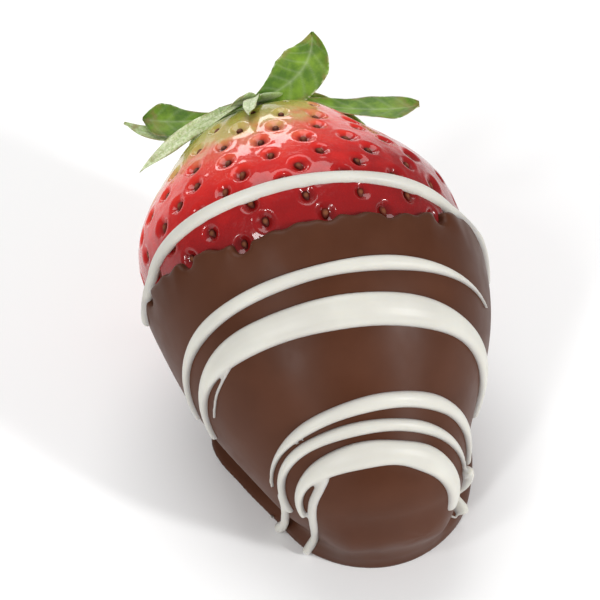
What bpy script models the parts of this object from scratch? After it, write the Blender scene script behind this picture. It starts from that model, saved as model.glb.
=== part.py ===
"""A strawberry dipped in dark chocolate and striped with white chocolate.

It lies on its side on the flat foot that the chocolate made as it set, tip towards -Y and
leafy crown towards +Y. Metres, +Z up. The floor is z = 0 and the middle of the berry's
length is over the origin.
"""

import math

import bmesh
import bpy
import numpy as np
from mathutils import Matrix, Vector

# The bare berry, along its own axis from crown to tip. Its radius and the wander of its
# centre line are sums of waves of an angle that runs from 0 at the crown to pi at the tip.
BERRY_LENGTH = 0.0523
RADIUS_WAVES = (0.01910, 0.00246, 0.00187, -0.00083, 0.00169, 0.00043, 0.00087, 0.00036)
CENTRE_WAVES = (-0.00283, -0.00265, 0.00064, -0.00101, 0.00025)
HEIGHT_SCALE = 0.97
BERRY_SEGMENTS = 40
BERRY_RINGS = 21

# The crown leans towards the berry's upper side.
CROWN_LIFT = 0.0012
CROWN_TILT = 0.20

# How it lies: the axis dips towards the tip, and the flesh stays this high above the floor.
AXIS_DIP = math.radians(24)
FLESH_HEIGHT = 0.00185
SIDE_SHIFT = 0.0030

# The seeds, on a golden-angle spiral with an equal area of skin for each.
SEED_SPACING = 0.0043
SEED_LENGTH = 0.0014
SEED_WIDTH = 0.0011
SEED_PROUD = 0.00035
SEED_FROM = 0.075
GOLDEN_ANGLE = math.pi * (3 - math.sqrt(5))

# The dark chocolate coat and the foot that it set on. The foot's outline is a radius every
# 30 degrees from +X. Its top climbs to these heights at shares of that radius, or to the
# underside of the coat where that is lower.
GAP = 0.0004
SPECK_VOLUME = 1e-11
COAT_THICKNESS = 0.0014
DIP_DEPTH = 0.440
DIP_TILT_SIDE = 0.018
DIP_WAVE = 0.006
COAT_SEGMENTS = 40
COAT_RINGS = 13
FOOT_CENTRE = Vector((0.0003, -0.0075))
FOOT_RADII = (
    0.0156, 0.0158, 0.0156, 0.0154, 0.0164, 0.0176,
    0.0141, 0.0133, 0.0157, 0.0174, 0.0171, 0.0157,
)
FOOT_PROFILE = (
    (0.0, 0.0062),
    (0.25, 0.0062),
    (0.45, 0.0061),
    (0.62, 0.0058),
    (0.74, 0.0048),
    (0.84, 0.0031),
    (0.92, 0.0020),
    (0.97, 0.0013),
    (1.0, 0.0006),
)
FOOT_BITE = 0.0005
FOOT_POINTS = 32

# The white chocolate stripes. Each lies where the surface meets an upright sheet
# y = at + slant x + bend x x, between two turns about the berry's axis.
STRIPE_RISE = 0.0008
STRIPE_SEGMENTS = 6
STRIPE_RINGS = 18
STRIPES = {
    "upper": {"at": 0.0004, "slant": -0.142, "bend": -1.2, "left": -90, "right": 52, "width": 0.0016},
    "second": {"at": -0.0099, "slant": -0.111, "bend": 5.0, "left": -104, "right": 58, "width": 0.0019},
    "broad": {"at": -0.0144, "slant": -0.117, "bend": 13.0, "left": -106, "right": 98, "width": 0.0038},
    "fourth": {"at": -0.0203, "slant": -0.049, "bend": 8.1, "left": -96, "right": 96, "width": 0.0022},
    "fifth": {"at": -0.0217, "slant": -0.099, "bend": 4.2, "left": -112, "right": 66, "width": 0.0017},
    "tip": {"at": -0.0237, "slant": -0.083, "bend": 10.0, "left": -100, "right": 96, "width": 0.0032},
}

# Runs of white chocolate that went on down over the foot: points on it, and a width.
RUNS = {
    "fifth_run": (((-0.0092, -0.0132), (-0.0097, -0.0150), (-0.0111, -0.0162)), 0.0015),
    "tip_run": (((-0.0067, -0.0162), (-0.0073, -0.0186), (-0.0089, -0.0205)), 0.0015),
    "right_run": (((0.0087, -0.0208), (0.0098, -0.0208), (0.0110, -0.0196)), 0.0018),
}

# The leaves of the crown. A draped leaf lies over the skin: the turn where it starts, the
# share and turn of its tip, how far the tip stands off the skin, its full width and how
# far along it is widest. A standing leaf is free: its bend and its tip from the crown's
# middle, the way that its inner face looks, its full width and how far along it is widest.
LEAF_THICKNESS = 0.0005
LEAF_ACROSS = 4
LEAF_ALONG = 8
LEAF_CLEAR = 0.0007
HUB_RADIUS = 0.0034
HUB_THICKNESS = 0.0012
DRAPED_LEAVES = {
    "front_left": {"start": -58, "share": 0.240, "turn": -75, "off": 0.0044, "width": 0.0030, "peak": 0.5},
    "front_short": {"start": -30, "share": 0.110, "turn": -40, "off": 0.0012, "width": 0.0026, "peak": 0.5},
    "bract": {"start": -14, "share": 0.080, "turn": -16, "off": 0.0014, "width": 0.0018, "peak": 0.5},
    "right_small": {"start": 78, "share": 0.200, "turn": 82, "off": 0.0014, "width": 0.0030, "peak": 0.5},
    "under_right": {"start": 125, "share": 0.220, "turn": 128, "off": 0.0040, "width": 0.0058, "peak": 0.5},
    "under": {"start": 174, "share": 0.200, "turn": 170, "off": 0.0030, "width": 0.0054, "peak": 0.45},
    "under_left": {"start": -146, "share": 0.205, "turn": -150, "off": 0.0034, "width": 0.0054, "peak": 0.5},
}
STANDING_LEAVES = {
    "upright": {
        "bend": (0.0050, 0.0008, 0.0021), "tip": (0.0072, 0.0036, 0.0056),
        "face": (-0.25, -0.62, 0.74), "width": 0.0060, "peak": 0.62,
    },
    "right_long": {
        "bend": (0.0080, 0.0000, -0.0006), "tip": (0.0182, -0.0052, -0.0030),
        "face": (0.10, 0.42, 0.88), "width": 0.0046, "peak": 0.64,
    },
    "left_round": {
        "bend": (-0.0078, 0.0014, -0.0022), "tip": (-0.0143, 0.0030, -0.0020),
        "face": (-0.10, -0.20, 0.97), "width": 0.0042, "peak": 0.72,
    },
    "left_thin": {
        "bend": (-0.0104, 0.0004, -0.0038), "tip": (-0.0168, 0.0030, -0.0020),
        "face": (0.10, 0.40, 0.90), "width": 0.0028, "peak": 0.55,
    },
}

DARK_CHOCOLATE = (0.085, 0.030, 0.018)
RIPE_RED = (0.55, 0.020, 0.016)
LEAF_GREEN = (0.16, 0.32, 0.055)


def outline_table(samples=600):
    """Radius, depth and sideways wander at even steps along the berry's outline."""
    angle = np.linspace(0, math.pi, samples)
    depth = BERRY_LENGTH * (1 - np.cos(angle)) / 2
    waves = sum(size * np.cos(turns * angle) for turns, size in enumerate(RADIUS_WAVES))
    radius = np.sin(angle) * waves
    wander = CENTRE_WAVES[0] * (1 + np.cos(angle)) / 2
    for turns, size in enumerate(CENTRE_WAVES[1:], 1):
        wander = wander + size * np.sin(turns * angle)
    step = np.hypot(np.diff(radius), np.diff(depth))
    run = np.concatenate([[0], np.cumsum(step)])
    even = np.linspace(0, run[-1], samples)
    columns = [np.interp(even, run, column) for column in (radius, depth, wander)]
    return np.array(columns), run[-1]


OUTLINE, OUTLINE_LENGTH = outline_table()
SHARES = np.linspace(0, 1, OUTLINE.shape[1])
LYING = Matrix.Rotation(-(math.pi / 2 - AXIS_DIP), 4, "X")


def outline(share):
    """Radius, depth and wander of the berry at a share of the way along its outline."""
    share = min(max(share, 0.0), 1.0)
    return [float(np.interp(share, SHARES, column)) for column in OUTLINE]


def berry_point(share, turn, proud=0.0):
    """Point on the berry, or proud of it, in its own frame. Turn 0 is its upper side."""
    radius, depth, wander = outline(share)
    before, after = outline(share - 0.004), outline(share + 0.004)
    along = Vector((after[0] - before[0], after[1] - before[1])).normalized()
    if share <= 0 or share >= 1:
        along = Vector((1, 0)) if share <= 0 else Vector((-1, 0))
    out = radius + proud * along.y
    near_crown = (1 - depth / BERRY_LENGTH) ** 2
    return Vector((
        math.sin(turn) * out + wander,
        -math.cos(turn) * out * HEIGHT_SCALE - CROWN_LIFT * near_crown,
        -depth + proud * along.x - CROWN_TILT * near_crown * math.cos(turn) * out,
    ))


def settled():
    """The matrix that lays the berry down at its height above the floor, over the foot."""
    low = min(
        (LYING @ berry_point(share, turn)).z
        for share in np.linspace(0, 1, 120)
        for turn in np.linspace(math.radians(150), math.radians(210), 15)
    )
    middle = (LYING @ Vector((0, 0, -BERRY_LENGTH / 2))).y
    return Matrix.Translation((SIDE_SHIFT, -middle, FLESH_HEIGHT - low)) @ LYING


PLACED = settled()


def world_point(share, turn, proud=0.0):
    """Point on the berry as it lies."""
    return PLACED @ berry_point(share, turn, proud)


def dip_share(turn):
    """How far down the outline the chocolate's rim lies at this side of the berry."""
    wave = math.sin(5 * turn + 0.6) + 0.6 * math.sin(9 * turn + 2.1)
    return DIP_DEPTH + DIP_TILT_SIDE * math.sin(turn) + DIP_WAVE * wave


def foot_radius(angle):
    """Radius of the foot at an angle from +X, on a smooth curve through the listed radii."""
    count = len(FOOT_RADII)
    place = (angle / (2 * math.pi) * count) % count
    first = int(place)
    past = place - first
    a, b, c, d = (FOOT_RADII[(first + step) % count] for step in (-1, 0, 1, 2))
    bend = 2 * a - 5 * b + 4 * c - d + past * (3 * (b - c) + d - a)
    return b + 0.5 * past * (c - a + past * bend)


def cleared_scene():
    """Empties the scene and returns the collections for the parts and for the helpers."""
    for obj in list(bpy.data.objects):
        bpy.data.objects.remove(obj)
    made = []
    for name in ("chocolate_coated_strawberry", "helpers"):
        collection = bpy.data.collections.new(name)
        bpy.context.scene.collection.children.link(collection)
        made.append(collection)
    return made


def surface(obj, name, colour, roughness):
    """Gives a piece a plain surface of one colour."""
    made = bpy.data.materials.new(name)
    made.use_nodes = True
    shader = made.node_tree.nodes["Principled BSDF"]
    shader.inputs["Base Color"].default_value = (*colour, 1)
    shader.inputs["Roughness"].default_value = roughness
    shader.inputs["Metallic"].default_value = 0
    obj.data.materials.clear()
    obj.data.materials.append(made)
    for polygon in obj.data.polygons:
        polygon.material_index = 0


def placed_object(name, data, collection):
    """Links a new object that holds this mesh."""
    made = bpy.data.objects.new(name, data)
    collection.objects.link(made)
    return made


def object_from(name, shape, collection):
    """Turns a bmesh into an object, with its faces pointing out."""
    shape.normal_update()
    bmesh.ops.recalc_face_normals(shape, faces=shape.faces)
    mesh = bpy.data.meshes.new(name)
    shape.to_mesh(mesh)
    shape.free()
    return placed_object(name, mesh, collection)


def with_modifiers_applied(obj):
    """Bakes an object's modifiers into its mesh."""
    graph = bpy.context.evaluated_depsgraph_get()
    mesh = bpy.data.meshes.new_from_object(obj.evaluated_get(graph))
    obj.modifiers.clear()
    obj.data = mesh
    return obj


def fuse(base, pieces):
    """Joins small pieces to the piece that they lie on, and removes them."""
    joined = bpy.data.collections.new(base.name + "_pieces")
    bpy.context.scene.collection.children.link(joined)
    for piece in pieces:
        for collection in piece.users_collection:
            collection.objects.unlink(piece)
        joined.objects.link(piece)
    union = base.modifiers.new("fused", "BOOLEAN")
    union.operation = "UNION"
    union.operand_type = "COLLECTION"
    union.collection = joined
    union.solver = "MANIFOLD"
    with_modifiers_applied(base)
    for piece in pieces:
        bpy.data.objects.remove(piece)
    bpy.data.collections.remove(joined)
    drop_slivers(base)
    return base


def drop_slivers(obj):
    """Fills the sealed pockets that a union leaves, and drops its loose specks."""
    shape = bmesh.new()
    shape.from_mesh(obj.data)
    waiting = set(shape.verts)
    while waiting:
        group = {waiting.pop()}
        edge = list(group)
        while edge:
            near = {link.other_vert(vertex) for vertex in edge for link in vertex.link_edges}
            edge = list(near - group)
            group |= near
        waiting -= group
        faces = {face for vertex in group for face in vertex.link_faces}
        volume = sum(
            face.verts[0].co.dot(one.co.cross(two.co)) / 6
            for face in faces
            for one, two in zip(face.verts[1:], face.verts[2:])
        )
        if volume < SPECK_VOLUME:
            bmesh.ops.delete(shape, geom=list(group), context="VERTS")
    shape.to_mesh(obj.data)
    shape.free()


def cut(base, cutter):
    """Takes the cutter's space out of a piece, and removes the cutter."""
    difference = base.modifiers.new("cut", "BOOLEAN")
    difference.operation = "DIFFERENCE"
    difference.object = cutter
    difference.solver = "MANIFOLD"
    with_modifiers_applied(base)
    bpy.data.objects.remove(cutter)
    return base


def sphere_coordinates(vertex):
    """Share of the way from a unit sphere's top to its bottom, and the turn about its axis."""
    share = math.acos(max(-1.0, min(1.0, vertex.co.z))) / math.pi
    return share, math.atan2(vertex.co.x, -vertex.co.y)


def moulded_berry(name, proud, collection):
    """A sphere moulded to the berry's form, or to one that stands proud of it."""
    shape = bmesh.new()
    bmesh.ops.create_uvsphere(
        shape, u_segments=BERRY_SEGMENTS, v_segments=BERRY_RINGS, radius=1
    )
    for vertex in shape.verts:
        vertex.co = world_point(*sphere_coordinates(vertex), proud)
    return object_from(name, shape, collection)


def seed_sites():
    """Share and turn of each seed that the chocolate leaves bare, spaced by equal areas."""
    radii = OUTLINE[0]
    area = np.concatenate([[0], np.cumsum((radii[1:] + radii[:-1]) / 2)])
    skin = 2 * math.pi * area[-1] * OUTLINE_LENGTH / (len(radii) - 1)
    count = round(skin / (SEED_SPACING**2 * math.sqrt(3) / 2))
    sites = []
    for number in range(count):
        share = float(np.interp((number + 0.5) / count * area[-1], area, SHARES))
        turn = (number * GOLDEN_ANGLE + 0.06 * math.sin(number * 2.3)) % (2 * math.pi)
        if SEED_FROM < share < dip_share(turn) - 0.014:
            sites.append((share, turn))
    return sites


def seed(name, share, turn, collection):
    """One small pip, lying along the berry and half sunk in its skin."""
    here = world_point(share, turn)
    along = (world_point(share + 0.01, turn) - world_point(share - 0.01, turn)).normalized()
    out = (world_point(share, turn, 0.001) - here).normalized()
    side = out.cross(along).normalized()
    shape = bmesh.new()
    bmesh.ops.create_uvsphere(shape, u_segments=5, v_segments=3, radius=1)
    for vertex in shape.verts:
        x, y, z = vertex.co
        narrowing = 1 - 0.3 * z
        vertex.co = (
            here
            + along * z * SEED_LENGTH / 2
            + side * x * narrowing * SEED_WIDTH / 2
            + out * y * narrowing * SEED_PROUD
        )
    return object_from(name, shape, collection)


def stripe_line(values, proud, steps=50):
    """Points of a stripe draped straight down over the berry, from its left end to its right."""
    line = []
    shares = np.linspace(0.02, 0.98, 160)
    for turn in np.radians(np.linspace(values["left"], values["right"], steps)):
        ring = [world_point(share, turn, proud) for share in shares]
        past = [
            point.y - values["at"] - values["slant"] * point.x - values["bend"] * point.x**2
            for point in ring
        ]
        line.append((float(np.interp(0, past[::-1], shares[::-1])), float(turn)))
    return line


def draped(line, proud):
    """The points of a line on the berry and the way out of its skin at each."""
    points = [world_point(share, turn, proud) for share, turn in line]
    outs = [
        (world_point(share, turn, proud + 0.001) - point).normalized()
        for (share, turn), point in zip(line, points)
    ]
    return points, outs


def strand(name, points, outs, width, collection):
    """A flattened strand of white chocolate along some points, tapering to both ends."""
    shape = bmesh.new()
    bmesh.ops.create_uvsphere(
        shape, u_segments=STRIPE_SEGMENTS, v_segments=STRIPE_RINGS, radius=1
    )
    last = len(points) - 1
    for vertex in shape.verts:
        share, turn = sphere_coordinates(vertex)
        place = share * last
        low = min(int(place), last - 1)
        here = points[low].lerp(points[low + 1], place - low)
        along = (points[min(low + 2, last)] - points[max(low - 1, 0)]).normalized()
        out = outs[low].lerp(outs[low + 1], place - low).normalized()
        side = along.cross(out).normalized()
        taper = math.sin(math.pi * min(max(share, 0.004), 0.996)) ** 0.4
        vertex.co = (
            here
            + side * math.sin(turn) * taper * width / 2
            + out * math.cos(turn) * taper * STRIPE_RISE
        )
    return object_from(name, shape, collection)


def make_berry(parts, helpers):
    """The fruit, whole inside its coat, with its bare seeds and the stripe over its skin."""
    berry = moulded_berry("berry", 0.0, parts)
    pieces = [
        seed(f"seed_{number}", share, turn, helpers)
        for number, (share, turn) in enumerate(seed_sites())
    ]
    upper = STRIPES["upper"]
    bare = [
        site
        for site in stripe_line(upper, 0.0)
        if site[0] < dip_share(site[1]) - 0.02
    ]
    points, outs = draped(bare, 0.0)
    pieces.append(strand("upper", points, outs, upper["width"], helpers))
    berry = fuse(berry, pieces)
    surface(berry, "ripe_berry", RIPE_RED, 0.25)
    return berry


def coat_shell(collection):
    """The chocolate on the berry: a cup from its wavy rim to the tip."""
    shape = bmesh.new()
    bmesh.ops.create_uvsphere(
        shape, u_segments=COAT_SEGMENTS, v_segments=COAT_RINGS, radius=1
    )
    pole = [vertex for vertex in shape.verts if vertex.co.z > 0.9999]
    bmesh.ops.delete(shape, geom=pole, context="VERTS")
    for vertex in shape.verts:
        share, turn = sphere_coordinates(vertex)
        first = 1 / COAT_RINGS
        down = (share - first) / (1 - first)
        rim = dip_share(turn)
        vertex.co = world_point(rim + (1 - rim) * down, turn, GAP)
    shell = object_from("coat", shape, collection)
    wall = shell.modifiers.new("wall", "SOLIDIFY")
    wall.thickness = COAT_THICKNESS
    wall.offset = 1
    return with_modifiers_applied(shell)


def foot_slab(shell, collection):
    """The low puddle of chocolate under the berry: flat below, and climbing to the coat."""

    def top_point(x, y, height):
        """Point of the foot's top, kept down to just inside the coat that lies over it."""
        found, place, _, _ = shell.ray_cast(Vector((x, y, -0.01)), Vector((0, 0, 1)))
        return Vector((x, y, min(height, place.z + FOOT_BITE) if found else height))

    shape = bmesh.new()
    rings = []
    for share, height in [(1.0, 0.0), *reversed(FOOT_PROFILE[1:])]:
        ring = []
        for number in range(FOOT_POINTS):
            angle = 2 * math.pi * number / FOOT_POINTS
            inset = 0.985 if height == 0 else 1.0
            reach = foot_radius(angle) * share * inset
            x = FOOT_CENTRE.x + reach * math.cos(angle)
            y = FOOT_CENTRE.y + reach * math.sin(angle)
            ring.append(shape.verts.new(top_point(x, y, height)))
        rings.append(ring)
    top = shape.verts.new(top_point(*FOOT_CENTRE, FOOT_PROFILE[0][1]))
    shape.faces.new(rings[0])
    for number in range(FOOT_POINTS):
        after = (number + 1) % FOOT_POINTS
        for low, high in zip(rings, rings[1:]):
            shape.faces.new((low[number], low[after], high[after], high[number]))
        shape.faces.new((rings[-1][number], rings[-1][after], top))
    bmesh.ops.triangulate(shape, faces=shape.faces)
    return object_from("foot", shape, collection)


def make_coat(parts, helpers):
    """The chocolate coat and its foot, with the white stripes and runs that lie on it."""
    coat = coat_shell(parts)
    inner = moulded_berry("berry_space", GAP + COAT_THICKNESS * 0.4, helpers)
    foot = cut(foot_slab(coat, helpers), inner)
    pieces = [foot]
    proud = GAP + COAT_THICKNESS
    for name, values in STRIPES.items():
        if name != "upper":
            points, outs = draped(stripe_line(values, proud), proud)
            pieces.append(strand(name, points, outs, values["width"], helpers))
    for name, (places, width) in RUNS.items():
        points = [
            foot.ray_cast(Vector((x, y, 0.02)), Vector((0, 0, -1)))[1] for x, y in places
        ]
        outs = [Vector((0, 0, 1))] * len(points)
        pieces.append(strand(name, points, outs, width, helpers))
    coat = fuse(coat, pieces)
    surface(coat, "dark_chocolate", DARK_CHOCOLATE, 0.35)
    return coat


def crown_frame():
    """The crown's middle, the way out of it, and the ways to its right and upper side."""
    middle = world_point(0, 0)
    right = (world_point(0.03, math.pi / 2) - world_point(0.03, -math.pi / 2)).normalized()
    upper = (world_point(0.03, 0) - world_point(0.03, math.pi)).normalized()
    out = upper.cross(right).normalized()
    if out.y < 0:
        out = -out
    return middle + out * (LEAF_CLEAR + HUB_THICKNESS / 2), out, right, upper


def hub(collection):
    """The small disc that the leaves grow from."""
    middle, out, right, upper = crown_frame()
    shape = bmesh.new()
    bmesh.ops.create_uvsphere(shape, u_segments=16, v_segments=6, radius=1)
    for vertex in shape.verts:
        x, y, z = vertex.co
        vertex.co = (
            middle
            + right * x * HUB_RADIUS
            + upper * y * HUB_RADIUS
            + out * z * HUB_THICKNESS / 2
        )
    return object_from("calyx", shape, collection)


def bent_line(first, bend, tip, steps):
    """Points of a curve that leaves the first point towards the bend and ends at the tip."""
    return [
        first * (1 - t) ** 2 + bend * 2 * t * (1 - t) + tip * t**2
        for t in np.linspace(0, 1, steps)
    ]


def leaf(name, spine, faces, values, wave, collection):
    """A thin wavy leaf along a spine, each point of which has the way that its face looks."""
    shape = bmesh.new()
    bmesh.ops.create_grid(
        shape, x_segments=LEAF_ACROSS, y_segments=LEAF_ALONG, size=1
    )
    last = len(spine) - 1
    width = values["width"]
    swell = math.log(0.5) / math.log(values["peak"])
    for vertex in shape.verts:
        across, along = vertex.co.x, (vertex.co.y + 1) / 2
        place = along * last
        low = min(int(place), last - 1)
        here = spine[low].lerp(spine[low + 1], place - low)
        face = faces[low].lerp(faces[low + 1], place - low).normalized()
        ahead = (spine[low + 1] - spine[low]).normalized()
        side = ahead.cross(face).normalized()
        swelling = math.sin(math.pi * min(along**swell, 0.985)) ** 0.8
        breadth = min(0.30 * (1 - along) + 0.04 + swelling, 1.0)
        reach = across * breadth * width / 2
        ripple = wave * across**2 * math.sin(7 * along + 2 * across)
        cup = 0.10 * width * across**2
        vertex.co = here + side * reach + face * (cup + ripple)
    bmesh.ops.triangulate(shape, faces=shape.faces)
    blade = object_from(name, shape, collection)
    skin = blade.modifiers.new("thickness", "SOLIDIFY")
    skin.thickness = LEAF_THICKNESS
    skin.offset = 0
    return with_modifiers_applied(blade)


def draped_leaf(name, values, collection):
    """A leaf that follows the berry's skin from the hub and lifts off it towards its tip."""
    middle, out, right, upper = crown_frame()
    start = math.radians(values["start"])
    end = math.radians(values["turn"])
    root = middle + (right * math.sin(start) + upper * math.cos(start)) * HUB_RADIUS * 0.6
    spine, faces = [root], [out]
    for t in np.linspace(0.28, 1, 7):
        share = values["share"] * t
        turn = start + (end - start) * t
        clear = LEAF_CLEAR + 0.10 * values["width"] + (values["off"] - LEAF_CLEAR) * t**2
        point = world_point(share, turn, clear)
        spine.append(point)
        faces.append((world_point(share, turn, clear + 0.001) - point).normalized())
    return leaf(name, spine, faces, values, 0.0002, collection)


def standing_leaf(name, values, collection):
    """A leaf that stands clear of the berry on a bent spine."""
    middle, out, _, _ = crown_frame()
    bend, tip = Vector(values["bend"]), Vector(values["tip"])
    root = middle + (bend - out * bend.dot(out)).normalized() * HUB_RADIUS * 0.4
    spine = bent_line(root, middle + bend, middle + tip, 9)
    faces = [Vector(values["face"]).normalized()] * len(spine)
    return leaf(name, spine, faces, values, 0.0004, collection)


def make_calyx(parts, helpers):
    """The green crown: a hub and its leaves, in one piece."""
    calyx = hub(parts)
    pieces = [draped_leaf(name, values, helpers) for name, values in DRAPED_LEAVES.items()]
    pieces += [
        standing_leaf(name, values, helpers) for name, values in STANDING_LEAVES.items()
    ]
    calyx = fuse(calyx, pieces)
    surface(calyx, "leaf_green", LEAF_GREEN, 0.55)
    return calyx


def main():
    parts, helpers = cleared_scene()
    make_berry(parts, helpers)
    make_coat(parts, helpers)
    make_calyx(parts, helpers)


main()
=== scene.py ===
"""The looks of a strawberry dipped in dark chocolate and striped with white chocolate.

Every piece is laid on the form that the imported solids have: a berry whose outline is a sum
of waves, lying on its side on the foot that its chocolate made as it set. Metres, +Z up,
tip towards -Y and leafy crown towards +Y.
"""

import logging
import math
from collections.abc import Callable, Sequence
from dataclasses import dataclass, field
from enum import Enum

import bmesh
import bpy
import numpy as np
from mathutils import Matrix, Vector
from mathutils.bvhtree import BVHTree


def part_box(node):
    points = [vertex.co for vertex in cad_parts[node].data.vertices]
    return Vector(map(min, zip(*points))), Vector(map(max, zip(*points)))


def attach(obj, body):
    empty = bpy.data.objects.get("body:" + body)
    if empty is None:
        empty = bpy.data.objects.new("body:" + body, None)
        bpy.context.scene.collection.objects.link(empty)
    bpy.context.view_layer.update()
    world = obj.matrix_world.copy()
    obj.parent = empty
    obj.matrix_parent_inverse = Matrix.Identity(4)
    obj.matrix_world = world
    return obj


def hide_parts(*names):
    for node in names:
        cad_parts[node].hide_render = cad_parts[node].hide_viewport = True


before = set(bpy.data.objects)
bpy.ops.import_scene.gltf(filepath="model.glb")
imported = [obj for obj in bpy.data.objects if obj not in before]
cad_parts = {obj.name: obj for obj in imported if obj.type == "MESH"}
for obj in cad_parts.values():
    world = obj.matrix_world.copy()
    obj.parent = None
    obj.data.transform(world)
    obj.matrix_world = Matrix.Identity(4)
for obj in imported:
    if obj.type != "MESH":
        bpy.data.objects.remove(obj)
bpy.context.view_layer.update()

LOG = logging.getLogger("dipped_strawberry")
MM = 0.001
Array = np.ndarray
Colour = tuple[float, float, float]


def smooth_step(low: float, high: float, value: Array) -> Array:
    """Rises smoothly from 0 at low to 1 at high.

    Args:
        low: where the rise starts.
        high: where the rise ends.
        value: the places to measure.

    Returns:
        A share from 0 to 1 for each place.
    """
    place = np.clip((value - low) / (high - low), 0.0, 1.0)
    return place * place * (3.0 - 2.0 * place)


def smooth_min(one: Array, two: Array, blend: float) -> Array:
    """Joins two fields with a fillet.

    Args:
        one: the first field, negative inside its solid.
        two: the second field.
        blend: how near each other the two surfaces start to merge.

    Returns:
        The field of the two solids together.
    """
    near = np.maximum(blend - np.abs(one - two), 0.0)
    return np.minimum(one, two) - near * near / (4.0 * blend)


def round_max(one: Array, two: Array, radius: float) -> Array:
    """Cuts one field by another and rounds the edge between them.

    Args:
        one: the first field, negative inside its solid.
        two: the second field.
        radius: the radius of the edge.

    Returns:
        The field of what lies inside both.
    """
    one, two = one + radius, two + radius
    corner = np.hypot(np.maximum(one, 0), np.maximum(two, 0))
    return corner + np.minimum(np.maximum(one, two), 0) - radius


def unit(vectors: Array) -> Array:
    """Scales each vector to length 1."""
    return vectors / np.maximum(np.linalg.norm(vectors, axis=-1, keepdims=True), 1e-12)


def lengths(points: Array) -> Array:
    """How far along a line each of its points lies."""
    return np.concatenate([[0], np.cumsum(np.linalg.norm(np.diff(points, axis=0), axis=1))])


def read_between(place: Array, places: Array, rows: Array) -> Array:
    """Reads rows of three values between the places where they stand.

    Args:
        place: where to read.
        places: where the rows stand.
        rows: the rows.

    Returns:
        One row for each place to read.
    """
    return np.stack([np.interp(place, places, rows[:, axis]) for axis in range(3)], axis=-1)


def eased(line: Array, rounds: int, ways: bool = False) -> Array:
    """Smooths a line and keeps its ends.

    Args:
        line: its points, or the ways that it faces.
        rounds: how many times it is smoothed.
        ways: whether it holds ways, which stay of unit length.

    Returns:
        The smoothed line.
    """
    line = line.copy()
    for _ in range(rounds):
        middle = line[:-2] + 2 * line[1:-1] + line[2:]
        line[1:-1] = unit(middle) if ways else middle / 4
    return line


def round_end(share: Array) -> Array:
    """Rounds off a strand, from its end at share 0 to its full size at share 1."""
    return np.sqrt(np.clip(1 - (1 - np.clip(share, 0, 1)) ** 2, 0.0004, 1))


def globe_angles(rings: int, sides: int) -> tuple[Array, Array]:
    """Places the points of a round form, ring by ring.

    Args:
        rings: how many rings there are from end to end.
        sides: how many points each ring has.

    Returns:
        The angle of each point from the first end, and its angle round the form.
    """
    polar, around = np.meshgrid(
        np.linspace(0.02, math.pi - 0.02, rings),
        np.linspace(0, 2 * math.pi, sides, endpoint=False), indexing="ij",
    )
    return polar, around


def mesh_object(name: str, points: Array, faces: Array | list) -> bpy.types.Object:
    """Makes a smooth-shaded mesh object.

    Args:
        name: the piece's name.
        points: its corners, one row each.
        faces: the corners of each face, by row number.

    Returns:
        The new object, linked to the scene.
    """
    mesh = bpy.data.meshes.new(name)
    rows = faces.tolist() if isinstance(faces, np.ndarray) else faces
    mesh.from_pydata(np.asarray(points, float).reshape(-1, 3).tolist(), [], rows)
    mesh.shade_smooth()
    mesh.update()
    made = bpy.data.objects.new(name, mesh)
    bpy.context.scene.collection.objects.link(made)
    return made


def mark(piece: bpy.types.Object, name: str, values: Array) -> None:
    """Stores one number for each corner of a piece, for its material to read.

    Args:
        piece: the mesh object.
        name: the name that the material asks for.
        values: the numbers, in the order of the corners.
    """
    layer = piece.data.attributes.new(name, "FLOAT", "POINT")
    layer.data.foreach_set("value", np.asarray(values, np.float32).ravel())


def grid_faces(rows: int, columns: int, first: int = 0, closed: bool = True) -> Array:
    """Quads between rows of points.

    Args:
        rows: how many rows of points there are.
        columns: how many points each row has.
        first: number of the first point.
        closed: whether the last column joins the first.

    Returns:
        The quads, one row of four point numbers each.
    """
    count = columns if closed else columns - 1
    row, column = np.meshgrid(np.arange(rows - 1), np.arange(count), indexing="ij")
    after = (column + 1) % columns
    quads = [
        row * columns + column,
        (row + 1) * columns + column,
        (row + 1) * columns + after,
        row * columns + after,
    ]
    return first + np.stack(quads, axis=-1).reshape(-1, 4)


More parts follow.
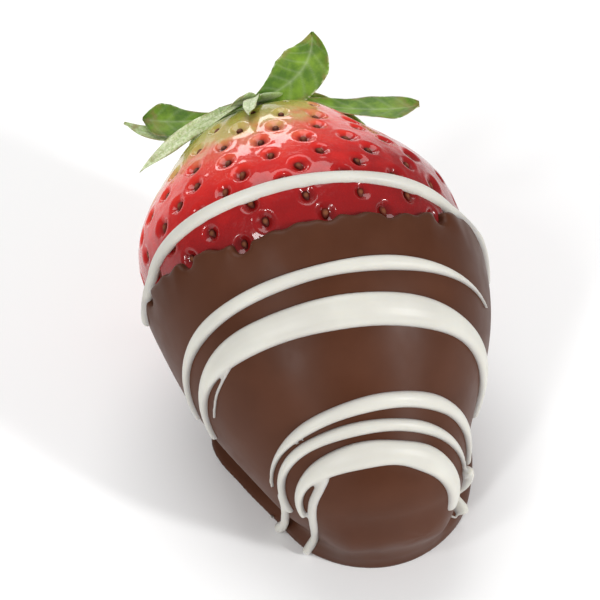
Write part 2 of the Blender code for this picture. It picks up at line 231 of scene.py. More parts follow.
@dataclass
class BerryForm:
    """The berry's outline and how it lies. Share runs from 0 at the crown to 1 at the tip.

    Its radius and the wander of its centre line are sums of waves of an angle that runs from
    0 at the crown to pi at the tip. Turn is about its axis, and 0 is its upper side.
    """

    length: float = 0.0523
    radius_waves: tuple[float, ...] = (
        0.01910, 0.00246, 0.00187, -0.00083, 0.00169, 0.00043, 0.00087, 0.00036,
    )
    centre_waves: tuple[float, ...] = (-0.00283, -0.00265, 0.00064, -0.00101, 0.00025)
    height_scale: float = 0.97
    crown_lift: float = 0.0012
    crown_tilt: float = 0.20
    axis_dip: float = math.radians(24)
    flesh_height: float = 0.00185
    side_shift: float = 0.0030
    samples: int = 600
    slope_reach: float = 0.004
    chart_step: float = 0.25 * MM
    chart_out: float = 30 * MM
    chart_above: float = 6 * MM
    chart_down: float = 60 * MM
    table: Array = field(init=False)
    outline_length: float = field(init=False)
    turned: Array = field(init=False)
    shift: Array = field(init=False)
    chart: Array = field(init=False)

    def __post_init__(self) -> None:
        """Works out the outline, the way the berry lies and the chart of what is near it."""
        self.table, self.outline_length = self._outline()
        angle = self.axis_dip - math.pi / 2
        cosine, sine = math.cos(angle), math.sin(angle)
        self.turned = np.array([[1, 0, 0], [0, cosine, -sine], [0, sine, cosine]])
        self.shift = np.zeros(3)
        share, turn = np.meshgrid(
            np.linspace(0, 1, 120), np.radians(np.linspace(150, 210, 15))
        )
        low = self.points(share, turn)[..., 2].min()
        middle = (self.turned @ np.array([0, 0, -self.length / 2]))[1]
        self.shift = np.array([self.side_shift, -middle, self.flesh_height - low])
        self.chart = self._chart()

    def _outline(self) -> tuple[Array, float]:
        """Works out the outline at even steps along it.

        Returns:
            Rows of its radius, depth and wander, and its length.
        """
        angle = np.linspace(0, math.pi, self.samples)
        depth = self.length * (1 - np.cos(angle)) / 2
        waves = sum(
            size * np.cos(turns * angle) for turns, size in enumerate(self.radius_waves)
        )
        radius = np.sin(angle) * waves
        wander = self.centre_waves[0] * (1 + np.cos(angle)) / 2
        for turns, size in enumerate(self.centre_waves[1:], 1):
            wander = wander + size * np.sin(turns * angle)
        step = np.hypot(np.diff(radius), np.diff(depth))
        run = np.concatenate([[0], np.cumsum(step)])
        even = np.linspace(0, run[-1], self.samples)
        columns = [np.interp(even, run, column) for column in (radius, depth, wander)]
        return np.array(columns), float(run[-1])

    def _at(self, share: Array) -> list[Array]:
        """Radius, depth and wander at each share."""
        place = np.clip(share, 0, 1) * (self.samples - 1)
        return [np.interp(place, np.arange(self.samples), row) for row in self.table]

    def _along(self, share: Array) -> tuple[Array, Array]:
        """Which way the outline runs.

        Args:
            share: the places to measure.

        Returns:
            How much it runs away from the axis at each, and how much towards the tip.
        """
        before, after = self._at(share - self.slope_reach), self._at(share + self.slope_reach)
        outwards, onwards = after[0] - before[0], after[1] - before[1]
        outwards = np.where(share <= 0, 1.0, np.where(share >= 1, -1.0, outwards))
        onwards = np.where((share <= 0) | (share >= 1), 0.0, onwards)
        size = np.hypot(outwards, onwards)
        return outwards / size, onwards / size

    def points(self, share: Array, turn: Array, proud: Array | float = 0.0) -> Array:
        """Points on the berry as it lies, or proud of it.

        Args:
            share: how far along the outline each is.
            turn: how far round the axis each is.
            proud: how far out of the skin each is.

        Returns:
            The points, with X, Y and Z along the last axis.
        """
        share, turn, proud = np.broadcast_arrays(
            np.asarray(share, float), np.asarray(turn, float), np.asarray(proud, float)
        )
        radius, depth, wander = self._at(share)
        outwards, onwards = self._along(share)
        out = radius + proud * onwards
        near_crown = (1 - depth / self.length) ** 2
        local = np.stack([
            np.sin(turn) * out + wander,
            -np.cos(turn) * out * self.height_scale - self.crown_lift * near_crown,
            -depth + proud * outwards - self.crown_tilt * near_crown * np.cos(turn) * out,
        ], axis=-1)
        return local @ self.turned.T + self.shift

    def outward(self, share: Array, turn: Array) -> Array:
        """The way out of the skin at each place."""
        return unit(self.points(share, turn, MM) - self.points(share, turn))

    def _chart(self) -> Array:
        """Charts a plane that runs out from the axis and down along it.

        Returns:
            Share and signed distance of the nearest outline point, at each step of the plane.
        """
        step = self.chart_step
        out, depth = np.meshgrid(
            np.arange(0, self.chart_out, step),
            np.arange(-self.chart_above, self.chart_down, step), indexing="ij",
        )
        shares = np.linspace(0, 1, self.samples)
        outwards, onwards = self._along(shares)
        away = (out[..., None] - self.table[0]) ** 2 + (depth[..., None] - self.table[1]) ** 2
        nearest = away.argmin(axis=-1)
        past_out = out - self.table[0][nearest]
        past_depth = depth - self.table[1][nearest]
        signed = past_out * onwards[nearest] - past_depth * outwards[nearest]
        slide = past_out * outwards[nearest] + past_depth * onwards[nearest]
        share = shares[nearest] + slide / self.outline_length
        return np.stack([np.clip(share, 0, 1), signed])

    def locate(self, points: Array) -> tuple[Array, Array, Array]:
        """Finds where points near the berry are.

        Args:
            points: X, Y and Z along the last axis.

        Returns:
            The share, turn and distance out of the skin of each.
        """
        local = (points - self.shift) @ self.turned
        share = np.clip(-local[..., 2] / self.length, 0, 1)
        for _ in range(4):
            _, on_depth, wander = self._at(share)
            near_crown = (1 - on_depth / self.length) ** 2
            across = local[..., 0] - wander
            upper = -(local[..., 1] + self.crown_lift * near_crown) / self.height_scale
            depth = -(local[..., 2] + self.crown_tilt * near_crown * upper)
            share, proud = self._read_chart(np.hypot(across, upper), depth)
        return share, np.arctan2(across, upper), proud

    def _read_chart(self, out: Array, depth: Array) -> Array:
        """Reads the chart between its points.

        Args:
            out: how far from the axis each place is.
            depth: how far down along the axis each is.

        Returns:
            The share and the distance out of the skin of each.
        """
        rows, columns = self.chart.shape[1:]
        row = np.clip(out / self.chart_step, 0, rows - 1.001)
        column = np.clip((depth + self.chart_above) / self.chart_step, 0, columns - 1.001)
        low_row, low_column = row.astype(int), column.astype(int)
        past, side = row - low_row, column - low_column
        corners = [
            self.chart[:, low_row + one, low_column + two]
            for one in (0, 1) for two in (0, 1)
        ]
        near_row = corners[0] * (1 - side) + corners[1] * side
        far_row = corners[2] * (1 - side) + corners[3] * side
        return near_row * (1 - past) + far_row * past


@dataclass
class SeedPattern:
    """Where the seeds are: on a golden-angle spiral, with an equal area of skin for each."""

    form: BerryForm
    spacing: float = 4.3 * MM
    first_share: float = 0.075
    last_share: float = 0.47
    share: Array = field(init=False)
    turn: Array = field(init=False)
    centre: Array = field(init=False)
    out: Array = field(init=False)

    def __post_init__(self) -> None:
        """Spreads the seeds over the skin."""
        radii = self.form.table[0]
        area = np.concatenate([[0], np.cumsum((radii[1:] + radii[:-1]) / 2)])
        skin = 2 * math.pi * area[-1] * self.form.outline_length / (len(radii) - 1)
        count = round(skin / (self.spacing**2 * math.sqrt(3) / 2))
        number = np.arange(count)
        share = np.interp((number + 0.5) / count * area[-1], area, np.linspace(0, 1, len(radii)))
        golden = math.pi * (3 - math.sqrt(5))
        turn = (number * golden + 0.06 * np.sin(number * 2.3)) % (2 * math.pi)
        kept = (share > self.first_share) & (share < self.last_share)
        self.share, self.turn = share[kept], turn[kept]
        self.centre = self.form.points(self.share, self.turn)
        self.out = self.form.outward(self.share, self.turn)


@dataclass
class DipLine:
    """The wavy rim of the dark chocolate, bitten where it meets the seeds' dimples."""

    form: BerryForm
    seeds: SeedPattern
    depth: float = 0.445
    tilt: float = 0.020
    wave: float = 0.004
    bite_radius: float = 1.05 * MM
    bite_reach: float = 1.25 * MM
    bite_past: float = 0.55 * MM
    bite_blend: float = 0.5 * MM
    bites: Array = field(init=False)

    def __post_init__(self) -> None:
        """Finds the seeds that bite into the rim."""
        past = (self.seeds.share - self.share_at(self.seeds.turn)) * self.form.outline_length
        self.bites = np.flatnonzero((past > -self.bite_reach) & (past < self.bite_past))

    def share_at(self, turn: Array) -> Array:
        """How far down the outline the rim lies at each turn."""
        wave = np.sin(7 * turn - 1.26) + 0.4 * np.sin(12 * turn + 2.1)
        return self.depth + self.tilt * np.sin(turn) + self.wave * wave

    def inside(self, points: Array, share: Array, turn: Array) -> Array:
        """How far each point is past the rim, towards the tip.

        Args:
            points: X, Y and Z along the last axis.
            share: how far along the outline each is.
            turn: how far round the axis each is.

        Returns:
            A distance in metres, less than 0 on the bare side.
        """
        fine = 0.10 * np.sin(31 * turn + 1.3) + 0.08 * np.sin(47 * turn)
        past = (share - self.share_at(turn)) * self.form.outline_length + fine * MM
        for number in self.bites:
            away = points - self.seeds.centre[number]
            out = self.seeds.out[number]
            level = away - (away @ out)[..., None] * out
            ring = np.linalg.norm(level, axis=-1) - self.bite_radius
            past = smooth_min(past, ring, self.bite_blend)
        return past


@dataclass
class NetSurface:
    """Turns a field, negative inside a solid, into a smooth mesh of even quads.

    The field is first measured in the middle of blocks of steps, and in full only in those
    that lie nearer the surface than near blocks. Probe is the share of a step over which the
    field's slope is measured, and stride the furthest that a point moves at once, in steps.
    """

    field_of: Callable[[Array], Array]
    low: Array
    high: Array
    step: float
    block: int = 4
    near: float = 1.35
    probe: float = 0.2
    stride: float = 0.6

    def build(self, name: str) -> bpy.types.Object:
        """Makes the mesh object where the field is 0."""
        points, quads = self._net(self._sampled())
        return mesh_object(name, self._settle(points), quads)

    def _sampled(self) -> Array:
        """Works the field out at the nodes of a grid, in full only near the surface.

        Returns:
            Its value at each node.
        """
        size = self.block * self.step
        blocks = np.ceil((self.high - self.low) / size).astype(int) + 1
        middles = np.indices(blocks).reshape(3, -1).T * size + self.low + size / 2
        coarse = self.field_of(middles).reshape(blocks)
        values = coarse
        for axis in range(3):
            values = np.repeat(values, self.block, axis=axis)
        near = np.abs(values) < size * self.near
        nodes = np.argwhere(near)
        values[near] = self.field_of(nodes * self.step + self.low)
        return values

    def _net(self, values: Array) -> tuple[Array, Array]:
        """Puts one point in each cell that the surface crosses, and quads between them.

        Args:
            values: the field at each node of the grid.

        Returns:
            The points and the quads.
        """
        inside = values < 0
        cells = np.zeros(np.array(values.shape) - 1, np.uint8)
        corners = [(i, j, k) for i in (0, 1) for j in (0, 1) for k in (0, 1)]
        views = [
            tuple(slice(step, size - 1 + step) for step, size in zip(corner, values.shape))
            for corner in corners
        ]
        for view in views:
            cells += inside[view]
        crossed = (cells > 0) & (cells < 8)
        where = np.argwhere(crossed)
        number = np.full(crossed.shape, -1, np.int64)
        number[crossed] = np.arange(len(where))
        at_corner = {corner: values[view][crossed] for corner, view in zip(corners, views)}
        total = np.zeros((len(where), 3))
        count = np.zeros(len(where))
        for axis in range(3):
            for corner in corners:
                if corner[axis] == 0:
                    other = tuple(
                        value + (place == axis) for place, value in enumerate(corner)
                    )
                    first, second = at_corner[corner], at_corner[other]
                    cut = (first < 0) != (second < 0)
                    part = first[cut] / (first[cut] - second[cut])
                    spot = np.tile(np.array(corner, float), (len(part), 1))
                    spot[:, axis] = part
                    total[cut] += spot
                    count[cut] += 1
        points = (where + total / count[:, None]) * self.step + self.low
        return points, np.concatenate([
            self._quads(inside, number, axis) for axis in range(3)
        ])

    @staticmethod
    def _quads(inside: Array, number: Array, axis: int) -> Array:
        """Makes the quads across the grid's edges along one axis, with their faces out.

        Args:
            inside: whether each node is inside the solid.
            number: the number of the point in each cell.
            axis: the axis, 0 to 2.

        Returns:
            The quads, one row of four point numbers each.
        """
        turned = np.moveaxis(inside, (axis, (axis + 1) % 3, (axis + 2) % 3), (0, 1, 2))
        cell = np.moveaxis(number, (axis, (axis + 1) % 3, (axis + 2) % 3), (0, 1, 2))
        change = turned[:-1, 1:-1, 1:-1] != turned[1:, 1:-1, 1:-1]
        i, j, k = np.nonzero(change)
        quads = np.stack([
            cell[i, j, k], cell[i, j + 1, k], cell[i, j + 1, k + 1], cell[i, j, k + 1],
        ], axis=-1)
        flipped = ~turned[:-1, 1:-1, 1:-1][i, j, k]
        quads[flipped] = quads[flipped][:, ::-1]
        return quads

    def _settle(self, points: Array, rounds: int = 3) -> Array:
        """Draws the points onto the surface itself.

        Args:
            points: the net's points.
            rounds: how many times each is moved.

        Returns:
            The moved points.
        """
        small = self.probe * self.step
        for _ in range(rounds):
            value = self.field_of(points)
            slope = np.stack([
                (self.field_of(points + small * way) - self.field_of(points - small * way))
                / (2 * small)
                for way in np.eye(3)
            ], axis=-1)
            steep = np.maximum((slope**2).sum(axis=-1), 0.25)
            move = -(value / steep)[:, None] * slope
            far = np.linalg.norm(move, axis=-1, keepdims=True)
            limit = self.stride * self.step / np.maximum(far, 1e-12)
            points = points + move * np.minimum(1.0, limit)
        return points


class Nodes:
    """A material's nodes, with a short call for each kind that this object uses."""

    def __init__(self, name: str) -> None:
        """Starts a material.

        Args:
            name: the material's name.
        """
        self.material = bpy.data.materials.new(name)
        self.material.use_nodes = True
        self.tree = self.material.node_tree
        self.shader = self.tree.nodes["Principled BSDF"]
        self.place = self.tree.nodes.new("ShaderNodeTexCoord").outputs["Object"]

    def link(self, source: bpy.types.NodeSocket, target: bpy.types.NodeSocket) -> None:
        """Joins two sockets."""
        self.tree.links.new(source, target)

    def set(self, **values: float | Colour) -> None:
        """Sets the shader's own sockets.

        Args:
            values: what to set, by the socket's name, so that roughness=0.4 sets Roughness.
        """
        for name, value in values.items():
            socket = self.shader.inputs[name.replace("_", " ").title().replace("Ior", "IOR")]
            if isinstance(value, tuple) and socket.type == "RGBA":
                socket.default_value = (*value, 1.0)
            else:
                socket.default_value = value

    def mark(self, name: str) -> bpy.types.NodeSocket:
        """Reads what the mesh stores.

        Args:
            name: the name that it is stored under.

        Returns:
            The socket of its value.
        """
        node = self.tree.nodes.new("ShaderNodeAttribute")
        node.attribute_name = name
        return node.outputs["Fac"]

    def noise(self, size: float, detail: float = 3.0, rough: float = 0.5) -> bpy.types.NodeSocket:
        """Soft random blotches.

        Args:
            size: how wide a blotch is, in metres.
            detail: how many finer layers lie on it.
            rough: how strong the finer layers are.

        Returns:
            The socket of a value of about 0.5.
        """
        node = self.tree.nodes.new("ShaderNodeTexNoise")
        node.inputs["Scale"].default_value = 1.0 / size
        node.inputs["Detail"].default_value = detail
        node.inputs["Roughness"].default_value = rough
        self.link(self.place, node.inputs["Vector"])
        return node.outputs["Fac"]

    def math(
        self, kind: str, one: bpy.types.NodeSocket | float, two: bpy.types.NodeSocket | float
    ) -> bpy.types.NodeSocket:
        """One sum of two numbers.

        Args:
            kind: which sum, such as ADD or MULTIPLY.
            one: the first number, or a socket that gives it.
            two: the second number.

        Returns:
            The socket of the answer.
        """
        node = self.tree.nodes.new("ShaderNodeMath")
        node.operation = kind
        for socket, value in zip(node.inputs, (one, two)):
            if isinstance(value, (int, float)):
                socket.default_value = value
            else:
                self.link(value, socket)
        return node.outputs[0]

    def span(
        self, value: bpy.types.NodeSocket, low: float, high: float,
        to_low: float = 0.0, to_high: float = 1.0,
    ) -> bpy.types.NodeSocket:
        """Carries a value smoothly from one range to another, and holds it inside that.

        Args:
            value: the socket of the value.
            low: the start of the first range.
            high: the end of the first range.
            to_low: the start of the second range.
            to_high: the end of the second range.

        Returns:
            The socket of the new value.
        """
        node = self.tree.nodes.new("ShaderNodeMapRange")
        node.interpolation_type = "SMOOTHSTEP"
        for name, number in (
            ("From Min", low), ("From Max", high), ("To Min", to_low), ("To Max", to_high)
        ):
            node.inputs[name].default_value = number
        self.link(value, node.inputs["Value"])
        return node.outputs["Result"]

    def ramp(
        self, value: bpy.types.NodeSocket, stops: Sequence[tuple[float, Colour]]
    ) -> bpy.types.NodeSocket:
        """Colours along a value.

        Args:
            value: the socket of the value.
            stops: places from 0 to 1, each with its colour.

        Returns:
            The socket of the colour.
        """
        node = self.tree.nodes.new("ShaderNodeValToRGB")
        ramp = node.color_ramp
        while len(ramp.elements) < len(stops):
            ramp.elements.new(1.0)
        for element, (place, colour) in zip(ramp.elements, stops):
            element.position = place
            element.color = (*colour, 1.0)
        self.link(value, node.inputs["Fac"])
        return node.outputs["Color"]

    def mix(
        self, share: bpy.types.NodeSocket,
        one: bpy.types.NodeSocket | Colour, two: bpy.types.NodeSocket | Colour,
    ) -> bpy.types.NodeSocket:
        """Mixes two colours.

        Args:
            share: the socket of how much of the second colour there is.
            one: the first colour, or a socket that gives it.
            two: the second colour.

        Returns:
            The socket of the mixed colour.
        """
        node = self.tree.nodes.new("ShaderNodeMix")
        node.data_type = "RGBA"
        self.link(share, node.inputs[0])
        for socket, value in zip(node.inputs[6:8], (one, two)):
            if isinstance(value, tuple):
                socket.default_value = (*value, 1.0)
            else:
                self.link(value, socket)
        return node.outputs[2]

    def colour(self, source: bpy.types.NodeSocket) -> None:
        """Gives the shader its colour."""
        self.link(source, self.shader.inputs["Base Color"])

    def roughness(self, source: bpy.types.NodeSocket) -> None:
        """Gives the shader its roughness."""
        self.link(source, self.shader.inputs["Roughness"])

    def bump(self, height: bpy.types.NodeSocket, strength: float, deep: float) -> None:
        """Adds relief too fine to model.

        Args:
            height: the socket of the relief's shape.
            strength: how much of it shows.
            deep: how deep it is, in metres.
        """
        node = self.tree.nodes.new("ShaderNodeBump")
        node.inputs["Strength"].default_value = strength
        node.inputs["Distance"].default_value = deep
        self.link(height, node.inputs["Height"])
        self.link(node.outputs["Normal"], self.shader.inputs["Normal"])


@dataclass(frozen=True)
class FleshFinish:
    """Moist fruit skin: a yellow-green shoulder, a pale ring, then bright and deeper red, darkened with
    painted shade in the floor of each dimple.
    """

    shoulder: Colour = (0.270, 0.280, 0.032)
    shoulder_low: Colour = (0.360, 0.325, 0.045)
    pale: Colour = (0.570, 0.410, 0.135)
    blush: Colour = (0.690, 0.170, 0.080)
    scarlet: Colour = (0.760, 0.044, 0.024)
    bright: Colour = (0.600, 0.016, 0.013)
    dark: Colour = (0.295, 0.007, 0.008)
    deep: Colour = (0.210, 0.007, 0.008)
    # Painted shade: the deep red that the floor of each dimple is darkened to.
    pit_shade: Colour = (0.150, 0.006, 0.006)
    roughness: float = 0.22

    def material(self) -> bpy.types.Material:
        """Makes the skin's material.

        Returns:
            The material.
        """
        nodes = Nodes("berry_skin")
        ripeness = nodes.math(
            "ADD", nodes.mark("ripeness"), nodes.span(nodes.noise(2.6 * MM), 0.3, 0.7, -0.018, 0.018)
        )
        skin = nodes.ramp(nodes.math("MULTIPLY", ripeness, 2.0), (
            (0.0, self.shoulder),
            (0.20, self.shoulder_low),
            (0.31, self.pale),
            (0.38, self.blush),
            (0.46, self.scarlet),
            (0.60, self.bright),
            (0.76, self.dark),
            (0.90, self.deep),
        ))
        ripe = nodes.span(ripeness, 0.15, 0.22)
        # Painted shade: darkens the floor of each dimple, on the red skin only.
        shade = nodes.math("MULTIPLY", nodes.mark("pit_shade"), ripe)
        nodes.colour(nodes.mix(nodes.math("MULTIPLY", shade, 0.75), skin, self.pit_shade))
        nodes.roughness(
            nodes.span(nodes.noise(1.5 * MM), 0.3, 0.7, self.roughness, self.roughness + 0.08)
        )
        nodes.set(subsurface_weight=0.12, subsurface_radius=(1.0, 0.25, 0.15), subsurface_scale=0.0012)
        nodes.set(coat_weight=0.65, coat_roughness=0.04, ior=1.40, specular_ior_level=0.12)
        nodes.bump(nodes.noise(0.9 * MM, 3.0, 0.55), 0.75, 0.14 * MM)
        return nodes.material


@dataclass(frozen=True)
class SeedFinish:
    """Dry brown seeds, with a painted highlight that makes each paler along the middle of its top."""

    dark: Colour = (0.060, 0.008, 0.005)
    warm: Colour = (0.130, 0.022, 0.010)
    # Painted highlight: the paler colour of each seed's top.
    pale: Colour = (0.220, 0.075, 0.030)
    roughness: float = 0.55

    def material(self) -> bpy.types.Material:
        """Makes the seeds' material.

        Returns:
            The material.
        """
        nodes = Nodes("berry_seed")
        body = nodes.mix(nodes.mark("tone"), self.dark, self.warm)
        # Painted highlight along the top of each seed.
        crest = nodes.span(nodes.mark("crest"), 0.45, 1.0, 0.0, 0.8)
        nodes.colour(nodes.mix(crest, body, self.pale))
        nodes.set(roughness=self.roughness, specular_ior_level=0.15)
        nodes.bump(nodes.noise(0.18 * MM, 2.0), 0.3, 0.04 * MM)
        return nodes.material


@dataclass(frozen=True)
class ChocolateFinish:
    """Set chocolate with a satin skin, a little uneven in tone.

    Where it has a thin colour, that shows where the chocolate is thin: partly the dark chocolate
    showing through and partly painted shade on the thinner strands and along their edges.
    """

    name: str
    low: Colour
    high: Colour
    roughness: float
    gloss: float
    subsurface: float = 0.0
    thin: Colour | None = None

    def material(self) -> bpy.types.Material:
        """Makes the chocolate's material.

        Returns:
            The material.
        """
        nodes = Nodes(self.name)
        tone = nodes.span(nodes.noise(9 * MM, 4.0), 0.3, 0.7)
        skin = nodes.mix(tone, self.low, self.high)
        if self.thin:
            # Thin colour where the white chocolate is thin: partly dark chocolate showing through,
            # partly painted shade.
            skin = nodes.mix(nodes.span(nodes.mark("thick"), 0.05, 0.80), self.thin, skin)
        nodes.colour(skin)
        nodes.roughness(
            nodes.span(nodes.noise(3 * MM, 4.0), 0.3, 0.7, self.roughness - 0.04, self.roughness + 0.04)
        )
        nodes.set(specular_ior_level=self.gloss, ior=1.45)
        if self.subsurface:
            nodes.set(
                subsurface_weight=self.subsurface, subsurface_radius=(1.0, 0.8, 0.5),
                subsurface_scale=0.0008,
            )
        nodes.bump(nodes.noise(2.2 * MM, 3.0, 0.45), 0.25, 0.06 * MM)
        return nodes.material


class Chocolate(Enum):
    """The two chocolates."""

    DARK = ChocolateFinish(
        "dark_chocolate", (0.068, 0.0225, 0.0105), (0.086, 0.0305, 0.0155), 0.40, 0.14
    )
    WHITE = ChocolateFinish(
        "white_chocolate", (0.56, 0.545, 0.495), (0.635, 0.625, 0.565), 0.40, 0.35, 0.15,
        # Where the white chocolate is thin: partly dark chocolate showing through, partly painted
        # shade.
        (0.43, 0.41, 0.39),
    )


@dataclass(frozen=True)
class LeafFinish:
    """Leaf, smooth and green inside, pale and woolly outside, with veins and brown edges."""

    green: Colour = (0.065, 0.150, 0.010)
    bright: Colour = (0.185, 0.320, 0.020)
    woolly: Colour = (0.780, 0.840, 0.600)
    fuzz: Colour = (0.480, 0.580, 0.270)
    brown: Colour = (0.260, 0.170, 0.060)

    def material(self) -> bpy.types.Material:
        """Makes the leaves' material.

        Returns:
            The material.
        """
        nodes = Nodes("berry_leaf")
        blotch = nodes.span(nodes.noise(2.2 * MM, 5.0, 0.6), 0.3, 0.7)
        inner = nodes.mix(blotch, self.green, self.bright)
        vein = nodes.mark("vein")
        inner = nodes.mix(nodes.math("MULTIPLY", vein, 0.16), inner, self.woolly)
        wool = nodes.span(nodes.noise(0.35 * MM, 4.0, 0.7), 0.35, 0.65)
        fleece = nodes.mix(wool, self.fuzz, self.woolly)
        outer = nodes.mix(nodes.math("MULTIPLY", vein, 0.35), fleece, self.bright)
        leaf = nodes.mix(nodes.mark("outer"), inner, outer)
        dry = nodes.math("MULTIPLY", nodes.mark("edge"), nodes.span(nodes.noise(1.6 * MM), 0.45, 0.6))
        nodes.colour(nodes.mix(nodes.math("MULTIPLY", dry, 0.7), leaf, self.brown))
        nodes.set(roughness=0.52, subsurface_weight=0.10, subsurface_scale=0.0006)
        nodes.set(subsurface_radius=(0.5, 1.0, 0.3), sheen_weight=0.10, sheen_roughness=0.5)
        nodes.set(specular_ior_level=0.3)
        nodes.bump(nodes.math("ADD", nodes.noise(0.4 * MM, 4.0, 0.7), vein), 0.4, 0.12 * MM)
        return nodes.material


@dataclass(frozen=True)
class FloorFinish:
    """Matt white paper."""

    white: Colour = (0.96, 0.96, 0.96)
    shade: Colour = (0.95, 0.95, 0.95)

    def material(self) -> bpy.types.Material:
        """Makes the floor's material.

        Returns:
            The material.
        """
        nodes = Nodes("pale_floor")
        nodes.colour(nodes.mix(nodes.noise(0.05), self.white, self.shade))
        nodes.set(roughness=0.9)
        return nodes.material


